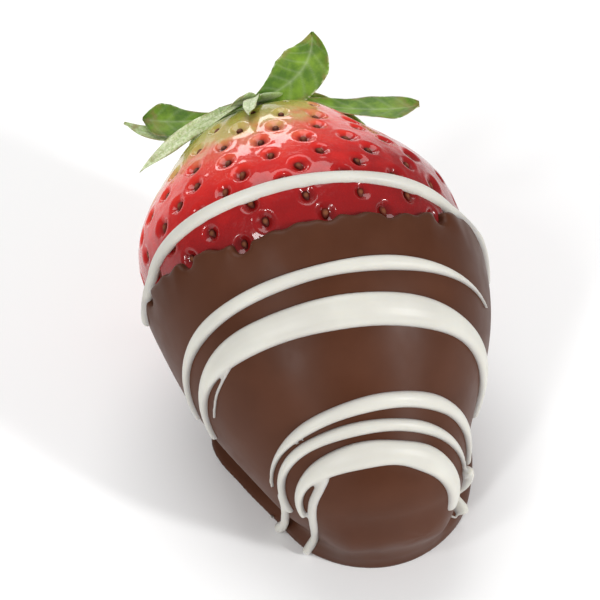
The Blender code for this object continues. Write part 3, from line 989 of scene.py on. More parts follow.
@dataclass
class Fruit:
    """The berry's dimpled skin and its seeds.

    Ripe sides are turns, in degrees, at which the skin by the crown is riper or less ripe,
    each with how far along the outline its ripeness is moved. Nudge is the share to either
    side of a seed over which the way along the skin is measured.
    """

    form: BerryForm
    seeds: SeedPattern
    rim: DipLine
    columns: int = 470
    fine_rows: int = 165
    coarse_rows: int = 24
    fine_share: float = 0.50
    pit_depth: float = 0.55 * MM
    pit_floor: float = 0.35 * MM
    pit_edge: float = 1.22 * MM
    pit_stretch: float = 1.12
    swell: float = 0.04 * MM
    seed_length: float = 1.15 * MM
    seed_width: float = 0.74 * MM
    seed_height: float = 0.26 * MM
    seed_sink: float = 0.86
    ripe_sides: tuple[tuple[float, float], ...] = ((-100, -0.100), (-8, -0.022), (62, 0.085))
    ripe_spread: float = 30.0
    seed_rings: int = 9
    seed_sides: int = 14
    nudge: float = 0.01

    def make(self) -> list[bpy.types.Object]:
        """Builds the skin and the seeds."""
        return [self._skin(), self._seeds()]

    def _seed_size(self) -> Array:
        """Varies the seeds and their dimples, which are smaller by the crown.

        Returns:
            The size of each, as a share of the usual.
        """
        number = np.arange(len(self.seeds.share))
        size = 1.0 + 0.10 * np.sin(number * 1.7) + 0.06 * np.sin(number * 4.1)
        return size * (0.55 + 0.45 * smooth_step(0.06, 0.19, self.seeds.share))

    def _ahead(self, share: Array, turn: Array) -> Array:
        """The way along the skin towards the tip, at a share and a turn."""
        before, after = share - self.nudge, share + self.nudge
        return unit(self.form.points(after, turn) - self.form.points(before, turn))

    def _relief(self, points: Array, share: Array) -> tuple[Array, Array]:
        """Dimples the skin.

        Args:
            points: places on the smooth skin.
            share: the share of the outline of each.

        Returns:
            How far the skin stands out at each, and how deep in a dimple each is, which sets the
            painted shade there.
        """
        ahead = self._ahead(self.seeds.share, self.seeds.turn)
        relief = np.zeros(len(points))
        pit_shade = np.zeros(len(points))
        for number, size in enumerate(self._seed_size()):
            close = np.abs(share - self.seeds.share[number]) < 0.06
            away = points[close] - self.seeds.centre[number]
            forward = away @ ahead[number]
            square = (away**2).sum(axis=-1) - forward**2 + (forward / self.pit_stretch) ** 2
            gap = np.sqrt(np.maximum(square, 0.0)) / size
            bowl = 1 - smooth_step(self.pit_floor, self.pit_edge, gap)
            lip = np.exp(-(((gap - 1.12 * self.pit_edge) / (0.30 * self.pit_edge)) ** 2))
            relief[close] += size * (self.swell * lip - self.pit_depth * bowl)
            # Painted shade: marks the middle of each dimple to be darkened in the skin's colour.
            pit_shade[close] = np.maximum(pit_shade[close], 1 - smooth_step(0.4 * MM, 1.0 * MM, gap))
        return relief, pit_shade

    def _skin(self) -> bpy.types.Object:
        """Builds the skin, whole under the chocolate, with a dimple for each seed.

        Returns:
            The skin.
        """
        fine = np.linspace(0, self.fine_share, self.fine_rows + 1)[1:]
        coarse = np.linspace(self.fine_share, 1, self.coarse_rows + 1)[1:-1]
        shares = np.concatenate([fine, coarse])
        turns = np.linspace(0, 2 * math.pi, self.columns, endpoint=False)
        share, turn = (values.ravel() for values in np.meshgrid(shares, turns, indexing="ij"))
        relief, pit_shade = self._relief(self.form.points(share, turn), share)
        points = self.form.points(share, turn, relief)
        ends = self.form.points(np.array([0.0, 1.0]), np.zeros(2))
        count = len(points)
        faces = grid_faces(len(shares), self.columns).tolist()
        around = np.arange(self.columns)
        after = (around + 1) % self.columns
        last = count - self.columns
        faces += np.stack([np.full_like(around, count), around, after], axis=-1).tolist()
        faces += np.stack(
            [np.full_like(around, count + 1), last + after, last + around], axis=-1
        ).tolist()
        skin = mesh_object("skin", np.concatenate([points, ends]), faces)
        ripeness = share + 0.010 * np.sin(3 * turn + 1.0)
        for middle, shift in self.ripe_sides:
            away = np.mod(turn - math.radians(middle) + math.pi, 2 * math.pi) - math.pi
            near = np.exp(-((away / math.radians(self.ripe_spread)) ** 2))
            ripeness = ripeness + shift * near * smooth_step(0.55, 0.20, share)
        mark(skin, "ripeness", np.concatenate([ripeness, [0.0, 1.0]]))
        # Stores where the dimples get painted shade.
        mark(skin, "pit_shade", np.concatenate([pit_shade, [0.0, 0.0]]))
        skin.data.materials.append(FleshFinish().material())
        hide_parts("berry")
        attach(skin, "root")
        return skin

    def _seeds(self) -> bpy.types.Object:
        """Builds every seed that shows, each sunk in the floor of its dimple.

        Returns:
            The seeds, in one piece.
        """
        past = self.rim.inside(self.seeds.centre, self.seeds.share, self.seeds.turn)
        shown = np.flatnonzero(past < -0.2 * MM)
        rings, sides = self.seed_rings, self.seed_sides
        polar, around = globe_angles(rings, sides)
        length = -np.cos(polar).ravel()
        girth = (np.sin(polar) ** 0.85).ravel() * (1 - 0.28 * length)
        side, up = girth * np.cos(around.ravel()), girth * np.sin(around.ravel())
        pit_size = self._seed_size()
        size = 0.5 + 0.5 * pit_size
        points, faces, tone, crest = [], [], [], []
        for place, number in enumerate(shown):
            share, turn = self.seeds.share[number], self.seeds.turn[number]
            out = self.seeds.out[number]
            ahead = self._ahead(share, turn)
            lean = 0.35 * math.sin(number * 2.9)
            across = unit(np.cross(out, ahead))
            ahead, across = (
                ahead * math.cos(lean) + across * math.sin(lean),
                across * math.cos(lean) - ahead * math.sin(lean),
            )
            sunk = self.form.points(share, turn, -self.pit_depth * pit_size[number] * self.seed_sink)
            points.append(
                sunk
                + np.outer(length, ahead) * self.seed_length / 2 * size[number]
                + np.outer(side, across) * self.seed_width / 2 * size[number]
                + np.outer(up, out) * self.seed_height * size[number]
            )
            first = place * rings * sides
            faces += grid_faces(rings, sides, first)[:, ::-1].tolist()
            faces.append([first + step for step in range(sides)])
            faces.append([first + (rings - 1) * sides + step for step in reversed(range(sides))])
            tone.append(np.full(rings * sides, 0.5 + 0.5 * math.sin(number * 5.3)))
            # Painted highlight: paler on the outward top of each seed, fading towards its ends and
            # sides.
            crest.append(np.clip(up, 0, 1) * (1 - np.abs(length) ** 2))
        seeds = mesh_object("seeds", np.concatenate(points), faces)
        mark(seeds, "tone", np.concatenate(tone))
        mark(seeds, "crest", np.concatenate(crest))
        seeds.data.materials.append(SeedFinish().material())
        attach(seeds, "root")
        return seeds


@dataclass
class DarkCoat:
    """The dark chocolate on the berry, and the foot that it made as it set."""

    form: BerryForm
    rim: DipLine
    proud: float = 1.68 * MM
    rim_proud: float = 1.05 * MM
    rim_run: float = 2.4 * MM
    lip_radius: float = 0.55 * MM
    ripple: float = 0.03 * MM
    chin: float = 1.6 * MM
    chin_shares: tuple[float, float] = (0.70, 0.80)
    chin_heights: tuple[float, float] = (12.6 * MM, 5.0 * MM)
    chin_sides: tuple[float, float] = (9.5 * MM, 5.0 * MM)
    foot_centre: tuple[float, float] = (0.0003, -0.0075)
    foot_radii: tuple[float, ...] = (
        0.0156, 0.0158, 0.0156, 0.0154, 0.0164, 0.0168,
        0.0133, 0.0127, 0.0153, 0.0170, 0.0167, 0.0155,
    )
    foot_edge: float = 0.8 * MM
    foot_rise: float = 9.0 * MM
    foot_slope: float = 0.50
    foot_curve: float = 1.5
    foot_round: float = 0.6 * MM
    front_round: float = 0.35
    edge_lean: float = 0.8
    front_swell: float = 3.6 * MM
    front_spread: float = math.radians(48)
    floor_round: float = 0.3 * MM
    fillet: float = 2.6 * MM
    step: float = 0.285 * MM
    margin: float = 1.2 * MM

    def foot_radius(self, angle: Array) -> Array:
        """Radius of the foot, on a smooth curve through its radii.

        Args:
            angle: the angles from +X to measure.

        Returns:
            The radius at each.
        """
        radii = np.array(self.foot_radii)
        count = len(radii)
        place = (angle / (2 * math.pi) * count) % count
        first = place.astype(int) % count
        past = place - np.floor(place)
        a, b, c, d = (radii[(first + step) % count] for step in (-1, 0, 1, 2))
        bend = 2 * a - 5 * b + 4 * c - d + past * (3 * (b - c) + d - a)
        return b + 0.5 * past * (c - a + past * bend)

    def shell(self, points: Array) -> Array:
        """The field of the chocolate on the berry, whole inside.

        Args:
            points: the places to measure.

        Returns:
            About how far outside the chocolate each is, below 0 inside.
        """
        share, turn, proud = self.form.locate(points)
        past = self.rim.inside(points, share, turn)
        thinning = np.exp(-np.maximum(past, 0.0) / self.rim_run)
        outer = self.proud - (self.proud - self.rim_proud) * thinning
        outer = outer + self.ripple * np.sin(9 * share + 2 * turn) * np.sin(14 * share - 3 * turn)
        under = smooth_step(*self.chin_heights, points[..., 2]) * smooth_step(*self.chin_shares, share)
        outer = outer + self.chin * under * smooth_step(*self.chin_sides, np.abs(points[..., 0]))
        return round_max(-past, proud - outer, self.lip_radius)

    def foot(self, points: Array) -> Array:
        """The field of the foot, which climbs towards the berry.

        Args:
            points: the places to measure.

        Returns:
            About how far outside the foot each is, below 0 inside.
        """
        x = points[..., 0] - self.foot_centre[0]
        y = points[..., 1] - self.foot_centre[1]
        reach = np.hypot(x, y)
        angle = np.arctan2(y, x)
        radius = self.foot_radius(angle)
        front = np.exp(-(((angle + math.pi / 2) / self.front_spread) ** 2))
        climb = np.clip((1 - reach / radius) / self.foot_slope, 0, 1) ** self.foot_curve
        height = self.foot_edge + self.front_swell * front + self.foot_rise * climb
        rounding = self.foot_round + self.front_round * self.front_swell * front
        return round_max(reach - radius, (points[..., 2] - height) * self.edge_lean, rounding)

    def solid(self, points: Array) -> Array:
        """The field of the coat and its foot together, cut flat at the floor."""
        joined = smooth_min(self.shell(points), self.foot(points), self.fillet)
        return round_max(joined, -points[..., 2], self.floor_round)

    def make(self) -> bpy.types.Object:
        """Builds the coat with its foot.

        Returns:
            The coat.
        """
        low, high = (np.array(corner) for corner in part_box("coat"))
        net = NetSurface(self.solid, low - self.margin, high + self.margin, self.step)
        coat = net.build("dark_coat")
        for vertex in coat.data.vertices:
            vertex.co.z = max(vertex.co.z, 0.0)
        coat.data.materials.append(Chocolate.DARK.value.material())
        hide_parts("coat")
        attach(coat, "root")
        return coat


@dataclass(frozen=True)
class Stripe:
    """A white stripe round the coat, which droops to each side of its crest.

    Crest is the share of the outline where it lies highest, and over is the turn there. A
    quarter turn to the left or right of that it lies its droop further towards the tip. Left
    and right are the turns of its ends, in degrees. Each end thins to a share of the width
    over a share of the way along. One that is on skin comes down from the coat's height onto
    the bare skin.
    """

    name: str
    crest: float
    over: float
    left_droop: float
    right_droop: float
    left: float
    right: float
    width: float
    rise: float
    left_thin: float
    left_run: float
    right_thin: float
    right_run: float
    on_skin: bool = False


@dataclass(frozen=True)
class Run:
    """White chocolate that ran on down.

    It lies on the first surface met from points near it, coming in from one side. At its end
    it swells to a blob.
    """

    name: str
    side: tuple[float, float, float]
    points: tuple[tuple[float, float, float], ...]
    width: float
    end_width: float
    rise: float
    blob: float = 1.0


@dataclass
class Drizzle:
    """The white chocolate stripes with their runs, melted together where they touch."""

    form: BerryForm
    coat: bpy.types.Object
    seat: float = 1.7 * MM
    voxel: float = 0.155 * MM
    sides: int = 16
    reach: float = 20.0 * MM
    steepest: float = 3.0
    left_steepness: float = 2.4
    right_steepness: float = 2.0
    line_steps: int = 150
    run_steps: int = 60
    above: float = 2.0 * MM
    below: float = 2.2 * MM
    melt_share: float = 0.6
    melt_rounds: int = 6
    stripes: tuple[Stripe, ...] = (
        Stripe("upper", 0.361, -20, 0.145, 0.128, -98, 88,
               1.60 * MM, 0.80 * MM, 0.75, 0.2, 0.6, 0.3, on_skin=True),
        Stripe("second", 0.526, -20, 0.145, 0.104, -100, 62,
               1.65 * MM, 0.75 * MM, 0.45, 0.30, 0.10, 0.30),
        Stripe("broad", 0.590, -35, 0.220, 0.087, -97, 92,
               3.70 * MM, 1.05 * MM, 0.18, 0.38, 0.35, 0.45),
        Stripe("fourth", 0.746, -12, 0.120, 0.092, -80, 84,
               1.85 * MM, 0.75 * MM, 0.18, 0.40, 0.50, 0.35),
        Stripe("fifth", 0.778, -30, 0.235, 0.075, -86, 74,
               1.50 * MM, 0.70 * MM, 0.55, 0.40, 0.25, 0.35),
        Stripe("tip", 0.821, -30, 0.205, 0.090, -79, 71,
               3.00 * MM, 1.00 * MM, 0.24, 0.42, 0.55, 0.35),
    )
    runs: tuple[Run, ...] = (
        Run("fifth_leg", (-0.22, -0.66, 0.72),
            ((-0.0118, -0.0200, 0.0131), (-0.0115, -0.0203, 0.0117),
             (-0.0113, -0.0200, 0.0096), (-0.0098, -0.0152, 0.0017),
             (-0.0102, -0.0152, 0.0008), (-0.0110, -0.0154, 0.0005)),
            1.10 * MM, 0.95 * MM, 0.60 * MM, 1.35),
        Run("tip_leg", (-0.22, -0.66, 0.72),
            ((-0.0077, -0.0230, 0.0180), (-0.0084, -0.0232, 0.0163),
             (-0.0092, -0.0232, 0.0145), (-0.0093, -0.0231, 0.0123),
             (-0.0090, -0.0230, 0.0100), (-0.0077, -0.0198, 0.0036),
             (-0.0079, -0.0197, 0.0023), (-0.0084, -0.0197, 0.0013),
             (-0.0091, -0.0200, 0.0005)),
            1.20 * MM, 0.85 * MM, 0.5 * MM, 1.3),
        Run("broad_tail", (-0.90, -0.35, 0.25),
            ((-0.0148, -0.0110, 0.0255), (-0.0164, -0.0108, 0.0215),
             (-0.0168, -0.0108, 0.0175)), 0.42 * MM, 0.36 * MM, 0.3 * MM),
        Run("right_drip", (0.75, -0.60, 0.28),
            ((0.0090, -0.0232, 0.0130), (0.0102, -0.0226, 0.0100),
             (0.0110, -0.0220, 0.0060), (0.0108, -0.0214, 0.0020)),
            1.25 * MM, 1.2 * MM, 1.2 * MM, 1.2),
        Run("curl", (0.30, -0.75, 0.60),
            ((0.0083, -0.0217, 0.0030), (0.0084, -0.0215, 0.0026),
             (0.0090, -0.0214, 0.0020), (0.0096, -0.0207, 0.0021)),
            0.36 * MM, 0.36 * MM, 0.25 * MM),
        Run("speck", (-0.50, -0.20, 0.84),
            ((-0.0113, -0.0136, 0.0009), (-0.0109, -0.0137, 0.0009)),
            0.45 * MM, 0.45 * MM, 0.25 * MM),
    )

    def _line(self, stripe: Stripe) -> tuple[Array, Array]:
        """Draws a stripe's line on the coat, from left to right.

        Args:
            stripe: the stripe.

        Returns:
            Points along it and the way out of the coat at each.
        """
        degrees = np.linspace(stripe.left, stripe.right, self.line_steps)
        away = (degrees - stripe.over) / 90
        left = stripe.left_droop * np.maximum(-away, 0) ** self.left_steepness
        right = stripe.right_droop * np.maximum(away, 0) ** self.right_steepness
        share, turns = stripe.crest + left + right, np.radians(degrees)
        return self.form.points(share, turns, self.seat), self.form.outward(share, turns)

    def _strand(self, points: Array, outs: Array, widths: Array, rises: Array) -> tuple[Array, list]:
        """Builds a strand's skin of rings, domed above and sunk below, closed at both ends.

        Args:
            points: the middle of each ring.
            outs: the way out of the coat at each.
            widths: the width of each.
            rises: how high each stands above its middle.

        Returns:
            The skin's points and faces.
        """
        along = unit(np.gradient(points, axis=0))
        across = unit(np.cross(along, outs))
        outs = unit(np.cross(across, along))
        angle = np.linspace(0, 2 * math.pi, self.sides, endpoint=False)
        cosine, sine = np.cos(angle), np.sin(angle)
        wide = np.sign(cosine) * np.abs(cosine) ** 0.9
        high = np.where(sine > 0, sine, 0.7 * sine)
        rings = (
            points[:, None]
            + across[:, None] * (wide * widths[:, None] / 2)[..., None]
            + outs[:, None] * (high * rises[:, None])[..., None]
        )
        faces = grid_faces(len(points), self.sides).tolist()
        faces.append(list(range(self.sides)))
        last = (len(points) - 1) * self.sides
        faces.append([last + step for step in reversed(range(self.sides))])
        return rings.reshape(-1, 3), faces

    def _sizes(self, points: Array, stripe: Stripe) -> tuple[Array, Array]:
        """Sizes a stripe, rounded off at its ends.

        Args:
            points: points along its line.
            stripe: the stripe.

        Returns:
            The width and the rise at each point.
        """
        run = lengths(points)
        place = run / run[-1]
        left = stripe.left_thin + (1 - stripe.left_thin) * smooth_step(0, stripe.left_run, place)
        back = smooth_step(0, stripe.right_run, 1 - place)
        right = stripe.right_thin + (1 - stripe.right_thin) * back
        uneven = 1 + 0.04 * np.sin(17 * place + 40 * stripe.crest) + 0.025 * np.sin(31 * place)
        thin = left * right * uneven
        widths = stripe.width * thin
        cap = round_end(np.minimum(run, run[-1] - run) / (widths / 2))
        return widths * cap, stripe.rise * (0.45 + 0.55 * thin) * cap

    def make(self) -> bpy.types.Object:
        """Builds the stripes and runs in one piece.

        Returns:
            The drizzle.
        """
        tree = BVHTree.FromObject(self.coat, bpy.context.evaluated_depsgraph_get())
        points, faces = [], []
        for stripe in self.stripes:
            line, outs = self._line(stripe)
            widths, rises = self._sizes(line, stripe)
            if stripe.on_skin:
                line = self._sunk(line, outs, tree)
            self._add(points, faces, *self._strand(line, outs, widths, rises))
        for run in self.runs:
            line, outs = self._run_line(run, tree)
            widths, rises = self._run_sizes(line, run)
            self._add(points, faces, *self._strand(line, outs, widths, rises))
        drizzle = mesh_object("white_drizzle", np.concatenate(points), faces)
        remesh = drizzle.modifiers.new("melted", "REMESH")
        remesh.mode = "VOXEL"
        remesh.voxel_size = self.voxel
        smooth = drizzle.modifiers.new("smooth", "SMOOTH")
        smooth.factor = self.melt_share
        smooth.iterations = self.melt_rounds
        graph = bpy.context.evaluated_depsgraph_get()
        mesh = bpy.data.meshes.new_from_object(drizzle.evaluated_get(graph))
        drizzle.modifiers.clear()
        drizzle.data = mesh
        mesh.shade_smooth()
        for vertex in mesh.vertices:
            vertex.co.z = max(vertex.co.z, 0.0)
        mesh.materials.clear()
        mesh.materials.append(Chocolate.WHITE.value.material())
        # Thickness over the coat, which sets the thin colour: partly dark chocolate showing through,
        # partly painted shade.
        deep = [tree.find_nearest(vertex.co)[3] or 0.0 for vertex in mesh.vertices]
        mark(drizzle, "thick", np.array(deep) / MM)
        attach(drizzle, "root")
        return drizzle

    @staticmethod
    def _add(points: list, faces: list, more: Array, more_faces: list) -> None:
        """Adds a strand to what is already there.

        Args:
            points: the points so far, one array for each strand.
            faces: the faces so far.
            more: the strand's points.
            more_faces: its faces, numbered from 0.
        """
        first = sum(len(part) for part in points)
        points.append(more)
        faces.extend([first + corner for corner in face] for face in more_faces)

    def _sunk(self, line: Array, outs: Array, tree: BVHTree) -> Array:
        """Lets the upper stripe down from the coat's height onto the bare skin.

        Args:
            line: points along it.
            outs: the way out at each.
            tree: the coat's surface.

        Returns:
            The points let down.
        """
        down = np.zeros(len(line))
        for place, (point, out) in enumerate(zip(line, outs)):
            start = Vector(point + out * self.above)
            spot, _, _, far = tree.ray_cast(start, Vector(-out), self.above + self.below)
            down[place] = min(far - self.above, self.seat) if spot is not None else self.seat
        soft = np.convolve(np.pad(down, 6, mode="edge"), np.ones(13) / 13, mode="valid")
        return line - outs * soft[:, None]

    def _run_line(self, run: Run, tree: BVHTree) -> tuple[Array, Array]:
        """Lays a smooth line along a run, on the coat and its foot.

        Args:
            run: the run.
            tree: the surface of the coat with its foot.

        Returns:
            Points along the line and the way out of the surface at each.
        """
        knots = np.array(run.points)
        place = np.linspace(0, len(knots) - 1, self.run_steps)
        curve = eased(read_between(place, np.arange(len(knots)), knots), 14)
        side = Vector(run.side).normalized()
        depths, outs = curve @ np.array(side), []
        flat = curve - np.outer(depths, np.array(side))
        for number, point in enumerate(curve):
            start = Vector(point) + side * self.reach
            spot, normal, _, _ = tree.ray_cast(start, -side, 2 * self.reach)
            depths[number] = spot @ side if spot is not None else depths[number]
            outs.append(normal if spot is not None else side)
        length = lengths(flat)
        hang = depths - self.steepest * np.abs(length[:, None] - length)
        spots = flat + np.outer(hang.max(axis=1), np.array(side))
        outs = eased(np.array(outs), 8, ways=True)
        length = lengths(spots)
        even = np.linspace(0, length[-1], len(spots))
        return eased(read_between(even, length, spots), 6), read_between(even, length, outs)

    @staticmethod
    def _run_sizes(points: Array, run: Run) -> tuple[Array, Array]:
        """Sizes a run, with a blob at its end.

        Args:
            points: points along its line.
            run: the run.

        Returns:
            The width and the rise at each point.
        """
        length = lengths(points)
        place = length / length[-1]
        swelling = 1 + (run.blob - 1) * smooth_step(0.7, 0.92, place)
        widths = (run.width + (run.end_width - run.width) * place) * swelling
        cap = round_end(np.minimum(length + widths / 4, length[-1] - length) / (widths / 2))
        return widths * cap, run.rise * swelling * cap


@dataclass(frozen=True)
class DrapedLeaf:
    """A leaf that lies over the skin: the turn where it starts, and its tip's place."""

    name: str
    start: float
    share: float
    turn: float
    off: float
    width: float
    peak: float = 0.5
    base: float = 0.30
    woolly: float = 1.0


@dataclass(frozen=True)
class StandingLeaf:
    """A leaf that stands free: root, bend and tip from the crown's middle, and its face."""

    name: str
    root: tuple[float, float, float]
    bend: tuple[float, float, float]
    tip: tuple[float, float, float]
    face: tuple[float, float, float]
    width: float
    peak: float
    base: float = 0.30
    woolly: float = 0.0


@dataclass
class Crown:
    """The green crown: a hub and its leaves."""

    form: BerryForm
    clear: float = 0.7 * MM
    hub_radius: float = 2.5 * MM
    hub_thickness: float = 0.9 * MM
    thickness: float = 0.42 * MM
    draped_wave: float = 0.2 * MM
    standing_wave: float = 0.25 * MM
    groove_depth: float = 0.10 * MM
    cup: float = 0.10
    hub_rings: int = 12
    hub_sides: int = 32
    across: int = 25
    along: int = 64
    draped: tuple[DrapedLeaf, ...] = (
        DrapedLeaf("front_short", -33, 0.122, -39, 0.9 * MM, 3.0 * MM, 0.55, 0.35, 0.15),
        DrapedLeaf("bract", -15, 0.165, -16, 1.0 * MM, 1.6 * MM, 0.6, 0.45, 1.0),
        DrapedLeaf("right_small", 96, 0.200, 97, 1.4 * MM, 3.0 * MM),
        DrapedLeaf("under_right", 125, 0.220, 128, 4.0 * MM, 5.8 * MM),
        DrapedLeaf("under", 174, 0.200, 170, 3.0 * MM, 5.4 * MM, 0.45),
        DrapedLeaf("under_left", -146, 0.190, -158, 3.4 * MM, 5.4 * MM),
    )
    standing: tuple[StandingLeaf, ...] = (
        StandingLeaf("upright", (-0.0008, 0.0001, 0.0000), (0.0068, -0.0002, 0.0015),
                     (0.0076, 0.0037, 0.0057), (-0.25, -0.62, 0.74), 6.0 * MM, 0.52, 0.12),
        StandingLeaf("right_long", (0.0008, -0.0002, 0.0000), (0.0113, -0.0053, -0.0014),
                     (0.0179, -0.0065, -0.0006), (0.02, 0.08, 0.99), 4.8 * MM, 0.70, 0.08),
        StandingLeaf("left_round", (-0.0010, 0.0000, -0.0002), (-0.0081, 0.0005, -0.0031),
                     (-0.0143, 0.0030, -0.0018), (-0.12, -0.35, 0.93), 4.6 * MM, 0.80, 0.06),
        StandingLeaf("left_thin", (-0.0012, 0.0000, -0.0004), (-0.0098, -0.0022, -0.0049),
                     (-0.0166, 0.0031, -0.0019), (0.05, 0.10, 0.99), 2.6 * MM, 0.60, 0.1, 0.60),
        StandingLeaf("front_left", (-0.0016, -0.0002, 0.0004), (-0.0107, -0.0054, 0.0034),
                     (-0.0169, -0.0054, -0.0024), (-0.45, -0.55, 0.70), 1.8 * MM, 0.58, 0.1, 1.0),
    )

    def _frame(self) -> tuple[Array, Array, Array, Array]:
        """Finds how the crown sits on the berry.

        Returns:
            Its middle, the way out of it, and the ways to its right and to its upper side.
        """
        near = 0.03

        def spot(share: float, turn: float) -> Array:
            """One point of the skin."""
            return self.form.points(np.array(share), np.array(turn))

        right = unit(spot(near, math.pi / 2) - spot(near, -math.pi / 2))
        upper = unit(spot(near, 0) - spot(near, math.pi))
        out = unit(np.cross(upper, right))
        out = out if out[1] > 0 else -out
        middle = spot(0, 0) + out * (self.clear + self.hub_thickness / 2)
        return middle, out, right, upper

    def _blade(
        self, spine: Array, faces: Array, leaf: DrapedLeaf | StandingLeaf, wave: float, seed: float
    ) -> tuple[Array, list, dict[str, Array]]:
        """The skin of one leaf: both its faces, joined along the edge.

        Args:
            spine: points along its middle.
            faces: the way that its face looks at each.
            leaf: its sizes.
            wave: how much its edges wave.
            seed: sets how this leaf's waves differ from the others'.

        Returns:
            Its points, its faces and what is stored at each point.
        """
        place = np.linspace(0, 1, self.along)
        steps = np.linspace(0, 1, len(spine))
        middle = eased(read_between(place, steps, spine), 10)
        face = eased(unit(read_between(place, steps, faces)), 10, ways=True)
        ahead = unit(np.gradient(middle, axis=0))
        side = unit(np.cross(ahead, face))
        face = unit(np.cross(side, ahead))
        swell = math.log(0.5) / math.log(leaf.peak)
        swelling = np.sin(math.pi * np.clip(place**swell, 0, 0.998)) ** 0.95
        breadth = np.minimum(leaf.base * (1 - place) + 0.03 + swelling, 1.0)
        u, t = np.meshgrid(np.linspace(-1, 1, self.across), place)
        reach = u * breadth[:, None] * leaf.width / 2
        waves = np.sin(7 * t + 2 * u + seed) + 0.35 * np.sin(19 * t + seed)
        groove = self.groove_depth * np.exp(-((u / 0.10) ** 2)) * (1 - t)
        lift = (self.cup * leaf.width + wave * waves) * u**2 - groove
        thin = self.thickness / 2 * np.sqrt(np.clip(1 - np.abs(u) ** 3, 0, 1)) * (1 - 0.5 * t)
        centre = middle[:, None] + side[:, None] * reach[..., None]
        sheets = [centre + face[:, None] * (lift + way * thin)[..., None] for way in (1, -1)]
        front = grid_faces(self.along, self.across, closed=False)
        back = grid_faces(self.along, self.across, self.along * self.across, closed=False)[:, ::-1]
        vein = np.exp(-((u / 0.07) ** 2)) + 0.5 * np.exp(
            -((np.mod(t * 7 + np.abs(u) * 1.1, 1) - 0.5) ** 2) / 0.012
        )
        marks = {
            "vein": np.concatenate([vein.ravel()] * 2),
            "edge": np.concatenate([smooth_step(0.72, 1.0, np.maximum(np.abs(u), t)).ravel()] * 2),
            "outer": np.repeat([leaf.woolly, 1 - leaf.woolly], u.size),
        }
        points = np.concatenate([sheet.reshape(-1, 3) for sheet in sheets])
        return points, front.tolist() + back.tolist(), marks

    def _draped_line(self, leaf: DrapedLeaf) -> tuple[Array, Array]:
        """Lays a leaf along the skin, lifting off towards its tip.

        Args:
            leaf: the leaf.

        Returns:
            Points along its spine and the way that its face looks at each.
        """
        middle, out, right, upper = self._frame()
        start, end = math.radians(leaf.start), math.radians(leaf.turn)
        root = middle + (right * math.sin(start) + upper * math.cos(start)) * self.hub_radius * 0.6
        t = np.linspace(0.28, 1, 7)
        turn = start + (end - start) * t
        proud = self.clear + self.cup * leaf.width + (leaf.off - self.clear) * t**2
        points = self.form.points(leaf.share * t, turn, proud)
        facing = self.form.outward(leaf.share * t, turn)
        return np.vstack([root, points]), np.vstack([out, facing])

    def _standing_line(self, leaf: StandingLeaf) -> tuple[Array, Array]:
        """Bends the spine of a leaf that stands free.

        Args:
            leaf: the leaf.

        Returns:
            Points along its spine and the way that its face looks at each.
        """
        middle = self._frame()[0]
        root, bend, tip = (middle + np.array(knot) for knot in (leaf.root, leaf.bend, leaf.tip))
        t = np.linspace(0, 1, 9)[:, None]
        spine = root * (1 - t) ** 2 + bend * 2 * t * (1 - t) + tip * t**2
        return spine, np.tile(unit(np.array(leaf.face)), (9, 1))

    def _hub(self) -> tuple[Array, list, dict[str, Array]]:
        """Builds the small disc that the leaves grow from.

        Returns:
            Its points, its faces and what is stored at each point.
        """
        middle, out, right, upper = self._frame()
        rings, sides = self.hub_rings, self.hub_sides
        polar, around = globe_angles(rings, sides)
        girth = np.sin(polar) * (1 + 0.06 * np.sin(5 * around))
        points = (
            middle
            + (girth * np.cos(around))[..., None] * right * self.hub_radius
            + (girth * np.sin(around))[..., None] * upper * self.hub_radius
            + np.cos(polar)[..., None] * out * self.hub_thickness / 2
        )
        faces = grid_faces(rings, sides).tolist()
        faces.append(list(reversed(range(sides))))
        faces.append([(rings - 1) * sides + step for step in range(sides)])
        flat = np.zeros(rings * sides)
        return points.reshape(-1, 3), faces, {"vein": flat, "edge": flat, "outer": flat + 0.4}

    def make(self) -> bpy.types.Object:
        """Builds the hub and its leaves in one piece.

        Returns:
            The crown.
        """
        parts = [self._hub()]
        for number, leaf in enumerate(self.draped):
            spine, faces = self._draped_line(leaf)
            parts.append(self._blade(spine, faces, leaf, self.draped_wave, 1.9 * number))
        for number, leaf in enumerate(self.standing):
            spine, faces = self._standing_line(leaf)
            parts.append(self._blade(spine, faces, leaf, self.standing_wave, 2.3 * number))
        points, all_faces, first = [], [], 0
        for part_points, part_faces, _ in parts:
            points.append(part_points)
            all_faces += [[first + corner for corner in face] for face in part_faces]
            first += len(part_points)
        crown = mesh_object("leaf_crown", np.concatenate(points), all_faces)
        for name in ("vein", "edge", "outer"):
            mark(crown, name, np.concatenate([marks[name] for _, _, marks in parts]))
        shape = bmesh.new()
        shape.from_mesh(crown.data)
        bmesh.ops.remove_doubles(shape, verts=shape.verts, dist=1e-7)
        bmesh.ops.recalc_face_normals(shape, faces=shape.faces)
        shape.to_mesh(crown.data)
        shape.free()
        crown.data.materials.append(LeafFinish().material())
        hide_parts("calyx")
        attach(crown, "root")
        return crown


@dataclass(frozen=True)
class Softbox:
    """A soft light: its place round the part in degrees, its distance and size, and its power."""

    name: str
    azimuth: float
    elevation: float
    away: float
    width: float
    height: float
    power: float


